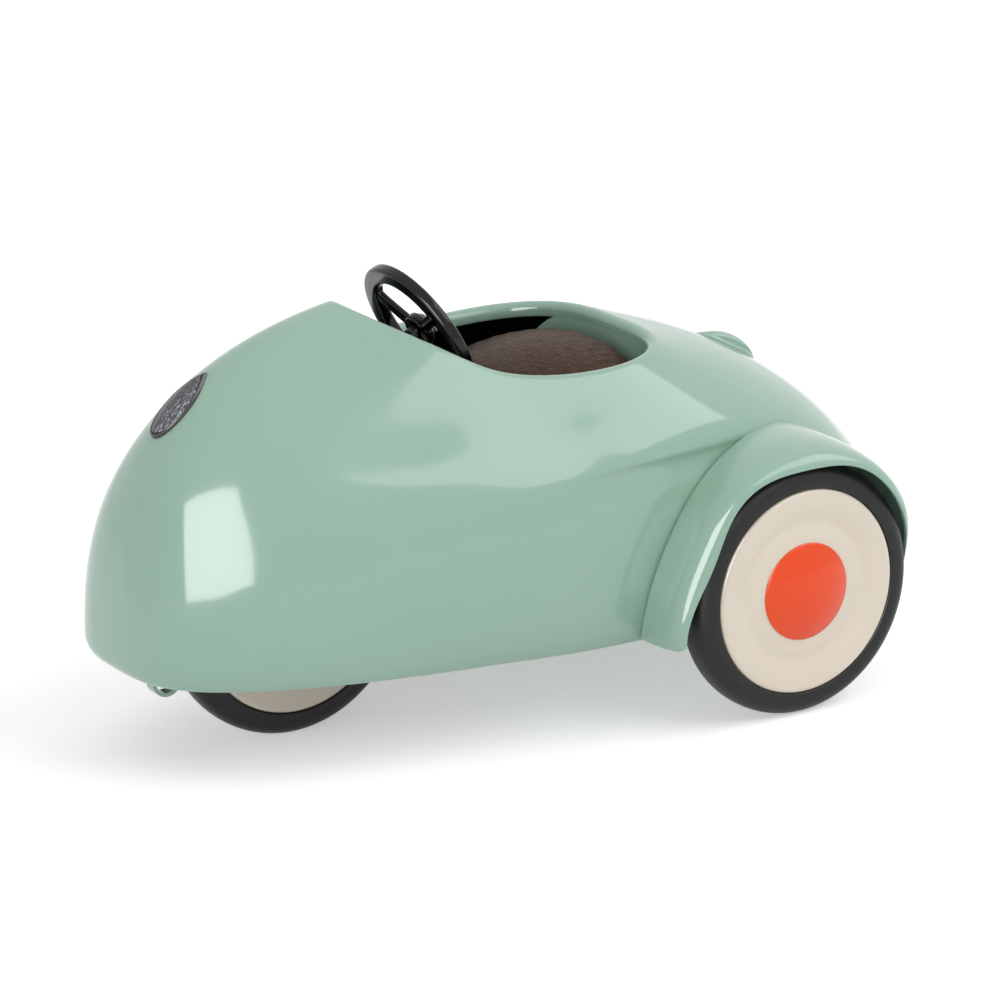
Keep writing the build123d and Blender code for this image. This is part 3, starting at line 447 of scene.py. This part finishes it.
def moulded_rubber(name):
    """Moulded black rubber: satin, finely mottled, with a few pale specks of dust."""
    material = new_material(name)
    place = node(material, "ShaderNodeTexCoord").outputs["Object"]
    mottle = node(material, "ShaderNodeTexNoise", {"Vector": place, "Scale": 900.0, "Detail": 4.0})
    dust = node(material, "ShaderNodeTexVoronoi", {"Vector": place, "Scale": 700.0}, feature="F1")
    speck = node(material, "ShaderNodeMapRange", {"Value": dust.outputs["Distance"], "From Min": 0.10,
                                                  "From Max": 0.04, "To Min": 0.0, "To Max": 1.0})
    where = node(material, "ShaderNodeTexNoise", {"Vector": place, "Scale": 160.0, "Detail": 2.0})
    some = node(material, "ShaderNodeMapRange", {"Value": where.outputs["Fac"], "From Min": 0.58,
                                                 "From Max": 0.68, "To Min": 0.0, "To Max": 0.5})
    amount = node(material, "ShaderNodeMath", {0: speck.outputs["Result"], 1: some.outputs["Result"]},
                  operation="MULTIPLY")
    tint = node(material, "ShaderNodeMix", {"Factor": amount.outputs[0], 6: rgb("#151516"),
                                            7: rgb("#8C8A86")}, data_type="RGBA")
    rough = node(material, "ShaderNodeMapRange", {"Value": mottle.outputs["Fac"], "To Min": 0.34,
                                                  "To Max": 0.52})
    bump = node(material, "ShaderNodeBump", {"Height": mottle.outputs["Fac"], "Strength": 0.25,
                                             "Distance": 0.00008})
    shader = node(material, "ShaderNodeBsdfPrincipled", {
        "Base Color": tint.outputs[2], "Roughness": rough.outputs["Result"], "IOR": 1.52,
        "Specular IOR Level": 0.3})
    return finish_material(material, shader, bump.outputs["Normal"])


black_rubber = moulded_rubber("tyre_rubber")
cream_enamel = stoved_enamel("cream_enamel", "#DDD3C3", "#D6CBBA", roughness=0.2)
for side, name in ((1, "left"), (-1, "right")):
    pressed_wheel(f"rear_{name}", REAR_AXLE * np.array([side, 1, 1]), f"rear_wheel_{name}",
                  [(side, f"rear_disc_outer_{name}"), (-side, f"rear_disc_inner_{name}")],
                  f"rear_tyre_{name}")
pressed_wheel("front", np.array([0.0, -45.0, WHEEL_RADIUS]), "front_wheel",
              [(1, "front_disc_left"), (-1, "front_disc_right")], "front_tyre")


# ================================================================ rear hub caps
# A domed cap on the flat of each rear wheel hides the axle's end.  It is pressed from the same sheet
# and enamelled a bright orange red; its edge lies close on the disc.
orange_enamel = stoved_enamel("orange_enamel", "#EE4A0C", "#E0400B", roughness=0.16, mirror=0.3)
CAP_EDGE = 9.05
cap_radius = np.linspace(0, CAP_EDGE, 40)
dome = 1 - (cap_radius / CAP_EDGE) ** 2.2
cap_top = np.stack([3.75 + 1.9 * dome, cap_radius], -1)
cap_back = np.stack([np.minimum(cap_top[:, 0] - 0.5, 3.6 + 1.4 * dome), cap_radius * 0.985], -1)
cap_profile = np.concatenate([cap_top, [(3.6, CAP_EDGE), (3.4, 8.9)], cap_back[::-1]])
for side, name in ((1, "left"), (-1, "right")):
    cap = turned(f"cap_{name}", cap_profile, REAR_AXLE * np.array([side, 1, 1]), side, closed=False)
    dress(cap, orange_enamel, f"rear_wheel_{name}", f"hub_cap_{name}")


# ================================================================ hubs, axles and fork
# Turned steel hubs run on plain steel axles between the discs.  The front wheel turns in a fork bent
# from strip, whose king pin stands in a brass bush under the cowl; a slotted tiller on the pin's top
# takes the crank pin of the steering column.
def turned_steel(name, colour, roughness):
    """Bright turned metal: fine rings cannot be seen at this size, so the finish is a mottled gloss."""
    material = new_material(name)
    place = node(material, "ShaderNodeTexCoord").outputs["Object"]
    grain = node(material, "ShaderNodeTexNoise", {"Vector": place, "Scale": 1400.0, "Detail": 3.0})
    rough = node(material, "ShaderNodeMapRange", {"Value": grain.outputs["Fac"], "To Min": roughness - 0.08,
                                                  "To Max": roughness + 0.1})
    bump = node(material, "ShaderNodeBump", {"Height": grain.outputs["Fac"], "Strength": 0.1,
                                             "Distance": 0.00005})
    shader = node(material, "ShaderNodeBsdfPrincipled", {
        "Base Color": rgb(colour), "Metallic": 1.0, "Roughness": rough.outputs["Result"]})
    return finish_material(material, shader, bump.outputs["Normal"])


def finish_nodes(material, *names):
    """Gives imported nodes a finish; their shapes stay as they are."""
    for name in names:
        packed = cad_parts[name]
        if not packed.material_slots:
            packed.data.materials.append(material)
        for place in packed.material_slots:
            place.material = material


steel = turned_steel("steel", "#C8C7C3", 0.3)
brass = turned_steel("brass", "#C9A25A", 0.32)
black_enamel = stoved_enamel("black_enamel", "#070707", "#0B0A0A", roughness=0.12, mirror=0.25)
finish_nodes(steel, "rear_axle", "axle_spacer_left", "axle_spacer_right", "rear_hub_left",
             "rear_hub_right", "axle_nut_left", "axle_nut_right", "front_axle", "front_hub",
             "front_spacers", "front_nuts", "king_pin", "king_nut", "fork_washer", "floor_rivets")
finish_nodes(brass, "fork_bush", "column_bush")
finish_nodes(black_enamel, "front_fork", "axle_cradle", "steering_column", "column_collar",
             "column_crank", "tiller")


# ================================================================ floor and inner plates
# Flat pressings close the underside and carry the axles.  They are welded inside the shell; the two bridges
# and the seat pan deep inside get a near-black enamel, a painted shade for the dark interior.
finish_nodes(green_enamel, "floor_pan", "floor_angles", "nose_plate", "tow_loop", "tub_wall")
# Painted shade: a near-black green enamel for the plates deep inside the body.
painted_shade_enamel = stoved_enamel("dark_painted_shade", "#1A201D", "#151A18", roughness=0.4)
finish_nodes(painted_shade_enamel, "front_bridge", "column_bridge", "seat_pan")


# ================================================================ steering wheel
# A cast wheel with a flat-sided rim, three spokes and a plain round hub, dipped in black enamel.  It
# is pinned on the end of the column and leans with it; a domed nut covers the hub's near side.
RIM_CENTRE = np.array([0.0, -17.6, 69.7])
lean = np.radians(29.0)
COLUMN_AXES = np.array([[1, 0, 0], [0, np.sin(lean), -np.cos(lean)], [0, np.cos(lean), np.sin(lean)]])


def on_wheel(points):
    """Points (left, down the wheel's face, towards the driver) in the car's axes."""
    return RIM_CENTRE + points @ COLUMN_AXES


def round_rectangle(low, high, radius, corner=6):
    """Closed outline of a rectangle with round corners, from two opposite corners (a, b)."""
    turn = np.linspace(0, np.pi / 2, corner)
    low, high = np.array(low), np.array(high)
    parts = []
    for k, sign in enumerate(((1, 1), (-1, 1), (-1, -1), (1, -1))):
        centre = (low + high) / 2 + sign * ((high - low) / 2 - radius)
        angle = turn + k * np.pi / 2
        parts.append(centre + radius * np.stack([np.cos(angle), np.sin(angle)], -1))
    return np.concatenate(parts)


def wheel_ring(outline, count):
    """An outline of (radius, towards the driver) carried round the wheel's axis."""
    turn = np.linspace(0, 2 * np.pi, count, endpoint=False)[:, None]
    radius, near = np.asarray(outline).T
    return on_wheel(np.stack([radius * np.cos(turn), radius * np.sin(turn), near + 0 * turn], -1))


def wheel_spoke(angle):
    """A flat spoke with round edges that widens into the hub and into the rim."""
    radius = np.linspace(1.5, 12.7, 40)
    flare = np.exp(-(radius - 1.5) / 1.3) + np.exp(-(10.9 - np.minimum(radius, 10.9)) / 0.7)
    half = 1.25 + 0.55 * flare
    section = round_rectangle((-1, -0.65), (1, 0.65), 0.5)
    across = section[None, :, 0] * half[:, None]
    near = section[None, :, 1] + 1.15 + 0 * across
    a = np.radians(angle)
    out = radius[:, None] + 0 * across
    return on_wheel(np.stack([out * np.cos(a) - across * np.sin(a), out * np.sin(a) + across * np.cos(a),
                              near], -1))


hub_outline = np.array([(0.0, 0.0), (1.6, 0.0), (2.2, 0.02), (2.75, 0.12), (3.08, 0.38), (3.2, 0.8),
                        (3.2, 1.6), (3.12, 2.0), (2.9, 2.25), (2.5, 2.3), (0.0, 2.3)])
steering_wheel = sheet_mesh(
    "wheel_casting",
    [wheel_ring(round_rectangle((10.5, 0.0), (13.9, 2.3), 0.7), 200), wheel_ring(hub_outline, 90)]
    + [wheel_spoke(angle) for angle in (90, 210, 330)],
    [(True, True), (True, False)] + [(False, True)] * 3)
dress(steering_wheel, black_enamel, "steering", "steering_wheel")
finish_nodes(black_enamel, "hub_button")


# ================================================================ headlight
# A drop-shaped silvered face in a dark raised edge, on the nose above the front wheel.  The face has
# a ridge down its middle and is covered with crumpled foil.
LAMP_LEAN = np.radians(48.0)
LAMP_UP = np.array([0, np.cos(LAMP_LEAN), np.sin(LAMP_LEAN)])
LAMP_MIDDLE = np.array([0, -66.0, 64.6])
LAMP_TOP = 7.0          # from the middle up to the drop's point


def over_nose(across, up, offset):
    """Points of the nose's skin, lifted by an offset, that lie under places on the lamp's face."""
    angle, t = 0.02 + 0.03 * across, np.full(across.shape, 0.35)
    small = 1e-4

    def seen(angle, t):
        spot = body_surface(angle, t, offset)
        return np.stack([spot[..., 0], (spot - LAMP_MIDDLE) @ LAMP_UP], -1)

    for _ in range(14):
        here = seen(angle, t)
        miss = np.stack([across, up], -1) - here
        along, down = (seen(angle + small, t) - here) / small, (seen(angle, t + small) - here) / small
        jacobian = np.stack([along, down], -1)
        step = np.linalg.solve(jacobian, miss[..., None])[..., 0]
        angle, t = angle + np.clip(step[..., 0], -0.2, 0.2), t + np.clip(step[..., 1], -0.15, 0.15)
    return body_surface(angle, t, offset)


def drop_outline(count):
    """The lamp's outline, pointed at the top and round at the bottom, from two Bezier curves."""
    top, half, widest, bottom = LAMP_TOP, 3.4, -1.7, -7.8
    t = np.linspace(0, 1, count)
    upper = bezier([np.array(p) for p in ((0, top), (0.45 * half, top - 2.0), (half, widest + 4.8),
                                          (half, widest))], t)
    lower = bezier([np.array(p) for p in ((half, widest), (half, widest - 3.6), (0.5 * half, bottom),
                                          (0, bottom))], t)
    left = np.concatenate([upper[:-1], lower])
    return np.concatenate([left, (left * [-1, 1])[-2:0:-1]])


def lamp_grid(scale, height, ridge=0.0):
    """Rings about the lamp's middle: scales of the outline, each at its height off the skin.

    A ridge down the middle adds to the height, falling off straight to both sides and to the ends.
    """
    outline, middle, ridge_half = drop_outline(45), np.array([0.0, -1.0]), 3.9
    scale, height = np.asarray(scale)[:, None], np.asarray(height)[:, None]
    place = middle + scale[..., None] * (outline - middle)
    fall = np.sqrt(0.02 + (place[..., 0] / ridge_half) ** 2) + 0.35 * (place[..., 1] / LAMP_TOP) ** 2
    rise = ridge * np.clip(1 - fall, 0, 1) * (height > 0.2)
    return over_nose(place[..., 0], place[..., 1], height + rise)


bead = np.linspace(0, np.pi, 13)
bezel_scale = 0.945 + 0.055 * np.cos(bead)
bezel_height = 0.05 + 0.6 * np.sin(bead) ** 0.8
lamp_edge = stoved_enamel("lamp_edge", "#2A2B2D", "#333436", roughness=0.3)
bezel = sheet_mesh("lamp_bezel", [lamp_grid(bezel_scale, bezel_height)], [(False, True)])
dress(bezel, lamp_edge, "body", "headlight_bezel")
face_scale = np.concatenate([[0.0001], np.linspace(0.08, 0.86, 12), [0.885, 0.895, 0.89, 0.5, 0.0001]])
face_height = np.concatenate([0.55 - 0.15 * face_scale[:13] ** 3, [0.35, 0.25, 0.1, 0.08, 0.08]])


def crumpled_foil(name):
    """Silvered foil laid over a ridge: dark grey metal, crumpled into short creases across the light.

    The creases are a stretched cell pattern of about 0.7 mm with a finer noise in it; they turn the
    reflections into many small bright and dark facets.
    """
    material = new_material(name)
    place = node(material, "ShaderNodeTexCoord").outputs["Object"]
    wide = node(material, "ShaderNodeMapping", {"Vector": place, "Scale": (1.6, 0.8, 0.6)})
    cells = node(material, "ShaderNodeTexVoronoi", {"Vector": wide.outputs["Vector"], "Scale": 1300.0,
                                                    "Randomness": 1.0}, feature="F1")
    fine = node(material, "ShaderNodeTexNoise", {"Vector": place, "Scale": 2600.0, "Detail": 3.0})
    relief = node(material, "ShaderNodeMath", {0: cells.outputs["Distance"], 1: fine.outputs["Fac"]},
                  operation="ADD")
    tint = node(material, "ShaderNodeMix", {"Factor": fine.outputs["Fac"], 6: rgb("#232427"),
                                            7: rgb("#77787C")}, data_type="RGBA")
    bump = node(material, "ShaderNodeBump", {"Height": relief.outputs[0], "Strength": 0.75,
                                             "Distance": 0.00035})
    shader = node(material, "ShaderNodeBsdfPrincipled", {
        "Base Color": tint.outputs[2], "Metallic": 0.85, "Roughness": 0.3})
    return finish_material(material, shader, bump.outputs["Normal"])


lamp_silver = crumpled_foil("lamp_silver")
lamp_face = sheet_mesh("lamp_face", [lamp_grid(face_scale, face_height, ridge=0.75)], [(False, True)])
dress(lamp_face, lamp_silver, "body", "headlight_lens")


# ================================================================ tail lamp housing
# A drop-shaped blister on the middle of the rear deck, low in front and blunt behind, pressed from
# thin sheet, soldered on and sprayed with the body.  A brow stands over a sunk panel on each side.
def blister_grid():
    """Half hoops over the deck's middle line, from the drop's point in front to its blunt end.

    Height and half width grow as a power of a quarter sine from the point and close in an ellipse at
    the end; each hoop is a half ellipse with a shallow trough pressed in low on both sides.
    """
    along = np.linspace(0, 1, 90)[:, None]
    turn = np.linspace(-np.pi / 2, np.pi / 2, 81)[None]
    widest = 0.7
    swell = np.sin(np.pi / 2 * np.clip(along / widest, 0, 1)) ** 1.3
    size = swell * np.sqrt(1 - np.clip((along - widest) / (1 - widest), 0, 1) ** 2)
    trough = np.exp(-((np.abs(turn) - 1.0) / 0.2) ** 2) * np.clip((along - 0.25) / 0.2, 0, 1)
    trough = trough * np.clip((0.97 - along) / 0.1, 0, 1)
    reach = 1 - 0.2 * trough
    x = 3.2 * size * np.sin(turn) * reach
    y = 43.6 + 13.6 * along + 0 * turn
    deck = body_surface(np.full(200, np.pi), np.linspace(0, 1, 200))
    base = np.interp(y, deck[:, 1], deck[:, 2]) - 0.02 * x**2 - 0.1
    top = np.stack([x, y, base + 2.8 * size * np.cos(turn) * reach], -1)
    under = np.stack([0.9 * x[:, ::-1], y, base[:, ::-1] - 0.05], -1)
    return np.concatenate([top, under], axis=1)


blister = sheet_mesh("tail_blister", [blister_grid()], [(False, True)])
dress(blister, green_enamel, "body", "tail_lamp_housing")


# ================================================================ seat cushion
# A squab of horsehair under dark brown leathercloth, laid on the seat pan.  It is crowned, its edges
# are round, and the cloth has gone slack and creased towards the back.
SEAT_BASE, SEAT_TOP, SEAT_HALF = 52.06, 64.4, 20.2
SEAT_CROWN = np.array([0.0, 15.0])     # the highest place of the cushion in plan


def seat_plan(count):
    """Outline of the cushion: straight front with round corners, and sides and back along the tub."""
    back = body_ribs(np.radians(np.linspace(129, 231, 61)))
    rim = back["rim"] - back["out"] * (ROLL + 0.8)
    front = round_rectangle((-SEAT_HALF, -6.2), (SEAT_HALF, 12.0), 5.0, corner=14)[28:]
    line = np.concatenate([np.clip(rim, [-SEAT_HALF, -9], [SEAT_HALF, 60]), front, rim[:1]])
    far = np.concatenate([[0], np.cumsum(np.hypot(*np.diff(line, axis=0).T))])
    even = np.linspace(0, far[-1], count, endpoint=False)
    return np.stack([np.interp(even, far, line[:, k]) for k in (0, 1)], -1)


def squab_grid():
    """The stuffing's shape before it swells: rings of the plan over a crowned top and a flat base."""
    plan, middle = seat_plan(160), np.array([0.0, 9.6])
    turn = np.linspace(0, np.pi / 2, 9)
    scale = np.concatenate([[0.001], np.linspace(0.1, 0.86, 12), 0.86 + 0.1 * np.sin(turn[1:]),
                            0.96 - 0.02 * (1 - np.cos(turn)), np.linspace(0.9, 0.001, 8)])
    place = middle + scale[:, None, None] * (plan - middle)
    crown = SEAT_TOP - 0.9 - np.hypot(*(place - SEAT_CROWN).T).T ** 2 / 100.0
    side = np.concatenate([np.zeros(13), 1 - np.cos(turn[1:])])
    shoulder = crown[:21] - 2.4 * side[:, None]
    bottom = SEAT_BASE + 0.5 + 0 * place[30:, :, 0]
    low = shoulder[-1] + (bottom[:1] - shoulder[-1]) * np.linspace(0.1, 0.95, 9)[:, None]
    return np.concatenate([place, np.concatenate([shoulder, low, bottom])[..., None]], -1)


def even_copy(piece, name):
    """The piece's mesh as its modifiers leave it, as a mesh of its own."""
    piece.modifiers.update()
    graph = bpy.context.evaluated_depsgraph_get()
    mesh = bpy.data.meshes.new_from_object(piece.evaluated_get(graph))
    mesh.name = name
    return mesh


def corners(mesh):
    """Corner positions of a mesh as an array."""
    flat = np.empty(3 * len(mesh.vertices))
    mesh.vertices.foreach_get("co", flat)
    return flat.reshape(-1, 3)


# The cloth is blown up ten times its size, where its solver is at home, and no point moves further
# than a cap; it is then scaled back.
BLOW_UP = 10.0
FRAMES = 20
MOST = 0.009            # the furthest that a blown-up point moves, in metres
squab = sheet_mesh("squab_stuffing", [squab_grid() * BLOW_UP], [(False, True)])
even = squab.modifiers.new("even", "REMESH")
even.mode, even.voxel_size = "VOXEL", 0.0065
cover_mesh = even_copy(squab, "seat_cover")
squab.modifiers.clear()
squab.data = cover_mesh
start = corners(cover_mesh)
end = start.copy()
cloth = squab.modifiers.new("stuffing", "CLOTH")
cloth.settings.use_pressure = True
cloth.settings.uniform_pressure_force = 4.0
cloth.settings.effector_weights.gravity = 0.0
for step in range(1, FRAMES + 1):
    bpy.context.scene.frame_set(step)
end = corners(even_copy(squab, "seat_swollen"))
bpy.context.scene.frame_set(1)
squab.modifiers.clear()
move = end - start
length = np.linalg.norm(move, axis=1, keepdims=True)
move *= np.minimum(1, MOST / np.maximum(length, 1e-9))
swollen = (start + move) / BLOW_UP
x, y, z = swollen.T / MM
loose = np.exp(-((x - 12) / 9) ** 2 - ((y - 18) / 7) ** 2)
ripple = np.sin(1.9 * x + 0.8 * y + 1.3 * np.sin(0.6 * y)) * np.sin(0.5 * y - 0.7 * x)
top_only = np.clip((z - SEAT_TOP + 6) / 3, 0, 1)
z = z + top_only * (0.16 * loose * ripple + 0.06 * np.sin(0.9 * x + 1.7 * y) * np.sin(0.33 * x))
swollen = np.stack([x, y, np.clip(z, SEAT_BASE, None)], -1) * MM
cover_mesh.vertices.foreach_set("co", swollen.ravel())
cover_mesh.shade_smooth()
squab.name = "seat_squab"
soft = squab.modifiers.new("finish", "SUBSURF")
soft.levels = soft.render_levels = 1


def leathercloth(name):
    """Old dark brown leathercloth: pebbled grain of 0.5 mm, longer wandering creases, worn gloss."""
    material = new_material(name)
    place = node(material, "ShaderNodeTexCoord").outputs["Object"]
    grain = node(material, "ShaderNodeTexVoronoi", {"Vector": place, "Scale": 2100.0},
                 feature="SMOOTH_F1")
    bend = node(material, "ShaderNodeTexNoise", {"Vector": place, "Scale": 420.0, "Detail": 3.0,
                                                 "Distortion": 0.8})
    crease = node(material, "ShaderNodeMath", {0: bend.outputs["Fac"], 1: 0.5}, operation="SUBTRACT")
    sharp = node(material, "ShaderNodeMath", {0: crease.outputs[0]}, operation="ABSOLUTE")
    valley = node(material, "ShaderNodeMapRange", {"Value": sharp.outputs[0], "From Max": 0.05})
    height = node(material, "ShaderNodeMath", {0: valley.outputs["Result"], 1: grain.outputs["Distance"]},
                  operation="ADD")
    worn = node(material, "ShaderNodeTexNoise", {"Vector": place, "Scale": 90.0, "Detail": 2.0})
    tint = node(material, "ShaderNodeMix", {"Factor": worn.outputs["Fac"], 6: rgb("#2E1A0B"),
                                            7: rgb("#442A14")}, data_type="RGBA")
    rough = node(material, "ShaderNodeMapRange", {"Value": worn.outputs["Fac"], "To Min": 0.28,
                                                  "To Max": 0.5})
    bump = node(material, "ShaderNodeBump", {"Height": height.outputs[0], "Strength": 0.6,
                                             "Distance": 0.00025})
    shader = node(material, "ShaderNodeBsdfPrincipled", {
        "Base Color": tint.outputs[2], "Roughness": rough.outputs["Result"], "IOR": 1.5,
        "Specular IOR Level": 0.14})
    return finish_material(material, shader, bump.outputs["Normal"])


seat_leathercloth = leathercloth("seat_leathercloth")
dress(squab, seat_leathercloth, "body", "seat_cushion")


# ================================================================ studio
# The car stands on a pale floor under four soft boxes; the floor and the world look white to the
# camera and in the enamel's reflections, and the floor keeps the car's shadow.
def white_to(tree_owner):
    """1 for what the camera sees straight, in a reflection or through glass, and 0 for other light."""
    sees = node(tree_owner, "ShaderNodeLightPath").outputs
    direct = node(tree_owner, "ShaderNodeMath", {0: sees["Is Camera Ray"], 1: sees["Is Transmission Ray"]},
                  operation="MAXIMUM")
    return node(tree_owner, "ShaderNodeMath", {0: direct.outputs[0], 1: sees["Is Glossy Ray"]},
                operation="MAXIMUM").outputs[0]


floor_mesh = bpy.data.meshes.new("studio_floor")
floor_mesh.from_pydata([(-3, -3, 0), (3, -3, 0), (3, 3, 0), (-3, 3, 0)], [], [(0, 1, 2, 3)])
floor = bpy.data.objects.new("studio_floor", floor_mesh)
bpy.context.scene.collection.objects.link(floor)
paper = new_material("studio_paper")
matt = node(paper, "ShaderNodeBsdfDiffuse", {"Color": rgb("#E9E9E9")})
white = node(paper, "ShaderNodeMath", {0: white_to(paper), 1: 0.42}, operation="MULTIPLY")
glow = node(paper, "ShaderNodeEmission", {"Color": rgb("#FFFFFF"), "Strength": white.outputs[0]})
both = node(paper, "ShaderNodeAddShader", {0: matt.outputs["BSDF"], 1: glow.outputs["Emission"]})
node(paper, "ShaderNodeOutputMaterial", {"Surface": both.outputs["Shader"]})
floor.data.materials.append(paper)

world = bpy.data.worlds.new("studio")
bpy.context.scene.world = world
world.use_nodes = True
world.node_tree.nodes.clear()
level = node(world, "ShaderNodeMapRange", {"Value": white_to(world), "To Min": 0.45, "To Max": 1.0})
sky = node(world, "ShaderNodeBackground", {"Color": rgb("#FFFFFF"), "Strength": level.outputs["Result"]})
node(world, "ShaderNodeOutputWorld", {"Surface": sky.outputs["Background"]})


def stand(right, up, back, place):
    """Matrix of an object at a place, from where its three axes point."""
    rows = zip(np.stack([right, up, back], 1), place)
    return Matrix([[*row, middle] for row, middle in rows] + [[0, 0, 0, 1]])


def soft_box(name, place, aim, size, power, roll=0.0, matt=True, glossy=True):
    """An area lamp at a place in metres, turned to face a point and rolled about that line.

    One that is not matt lights nothing and shows in reflections alone, and one that is not glossy
    lights without showing in them.
    """
    lamp = bpy.data.lights.new(name, "AREA")
    lamp.shape, lamp.size, lamp.size_y, lamp.energy = "RECTANGLE", size[0], size[1], power
    holder = bpy.data.objects.new(name, lamp)
    bpy.context.scene.collection.objects.link(holder)
    look = np.array(place) - np.array(aim)
    look = look / np.linalg.norm(look)
    side = np.cross([0, 0, 1], look)
    side /= np.linalg.norm(side)
    up = np.cross(look, side)
    tilt = np.radians(roll)
    holder.matrix_world = stand(side * np.cos(tilt) + up * np.sin(tilt),
                                up * np.cos(tilt) - side * np.sin(tilt), look, place)
    holder.visible_diffuse, holder.visible_glossy = matt, glossy


soft_box("box_nose", (0.70, -0.68, 0.37), (0, -0.04, 0.03), (0.66, 0.86), 15.5, roll=14, matt=False)
soft_box("box_side", (0.57, 0.62, 0.82), (0, 0, 0.03), (1.3, 0.66), 7.0)
soft_box("box_top", (-0.2, 0.1, 1.15), (0, 0, 0.03), (1.8, 1.8), 4.0, glossy=False)
soft_box("box_front", (0.60, -1.05, 0.2), (0, 0, 0.03), (1.2, 0.8), 7.5, glossy=False)

# The camera stands to the front left, a little above the car, with a long lens.
AIM, DISTANCE = np.array([0.01068, -0.00640, 0.03939]), 0.81
back = np.array([0.80028, -0.52217, 0.29454])
right = np.array([0.54647, 0.83748, 0.0])
up = np.cross(back, right)
camera_data = bpy.data.cameras.new("camera")
camera_data.lens, camera_data.sensor_width = 162.0, 36.0
camera_data.clip_start = 0.01
camera = bpy.data.objects.new("camera", camera_data)
bpy.context.scene.collection.objects.link(camera)
camera.matrix_world = stand(right, up, back, AIM + DISTANCE * back)
bpy.context.scene.camera = camera
bpy.context.scene.view_settings.view_transform = "Standard"
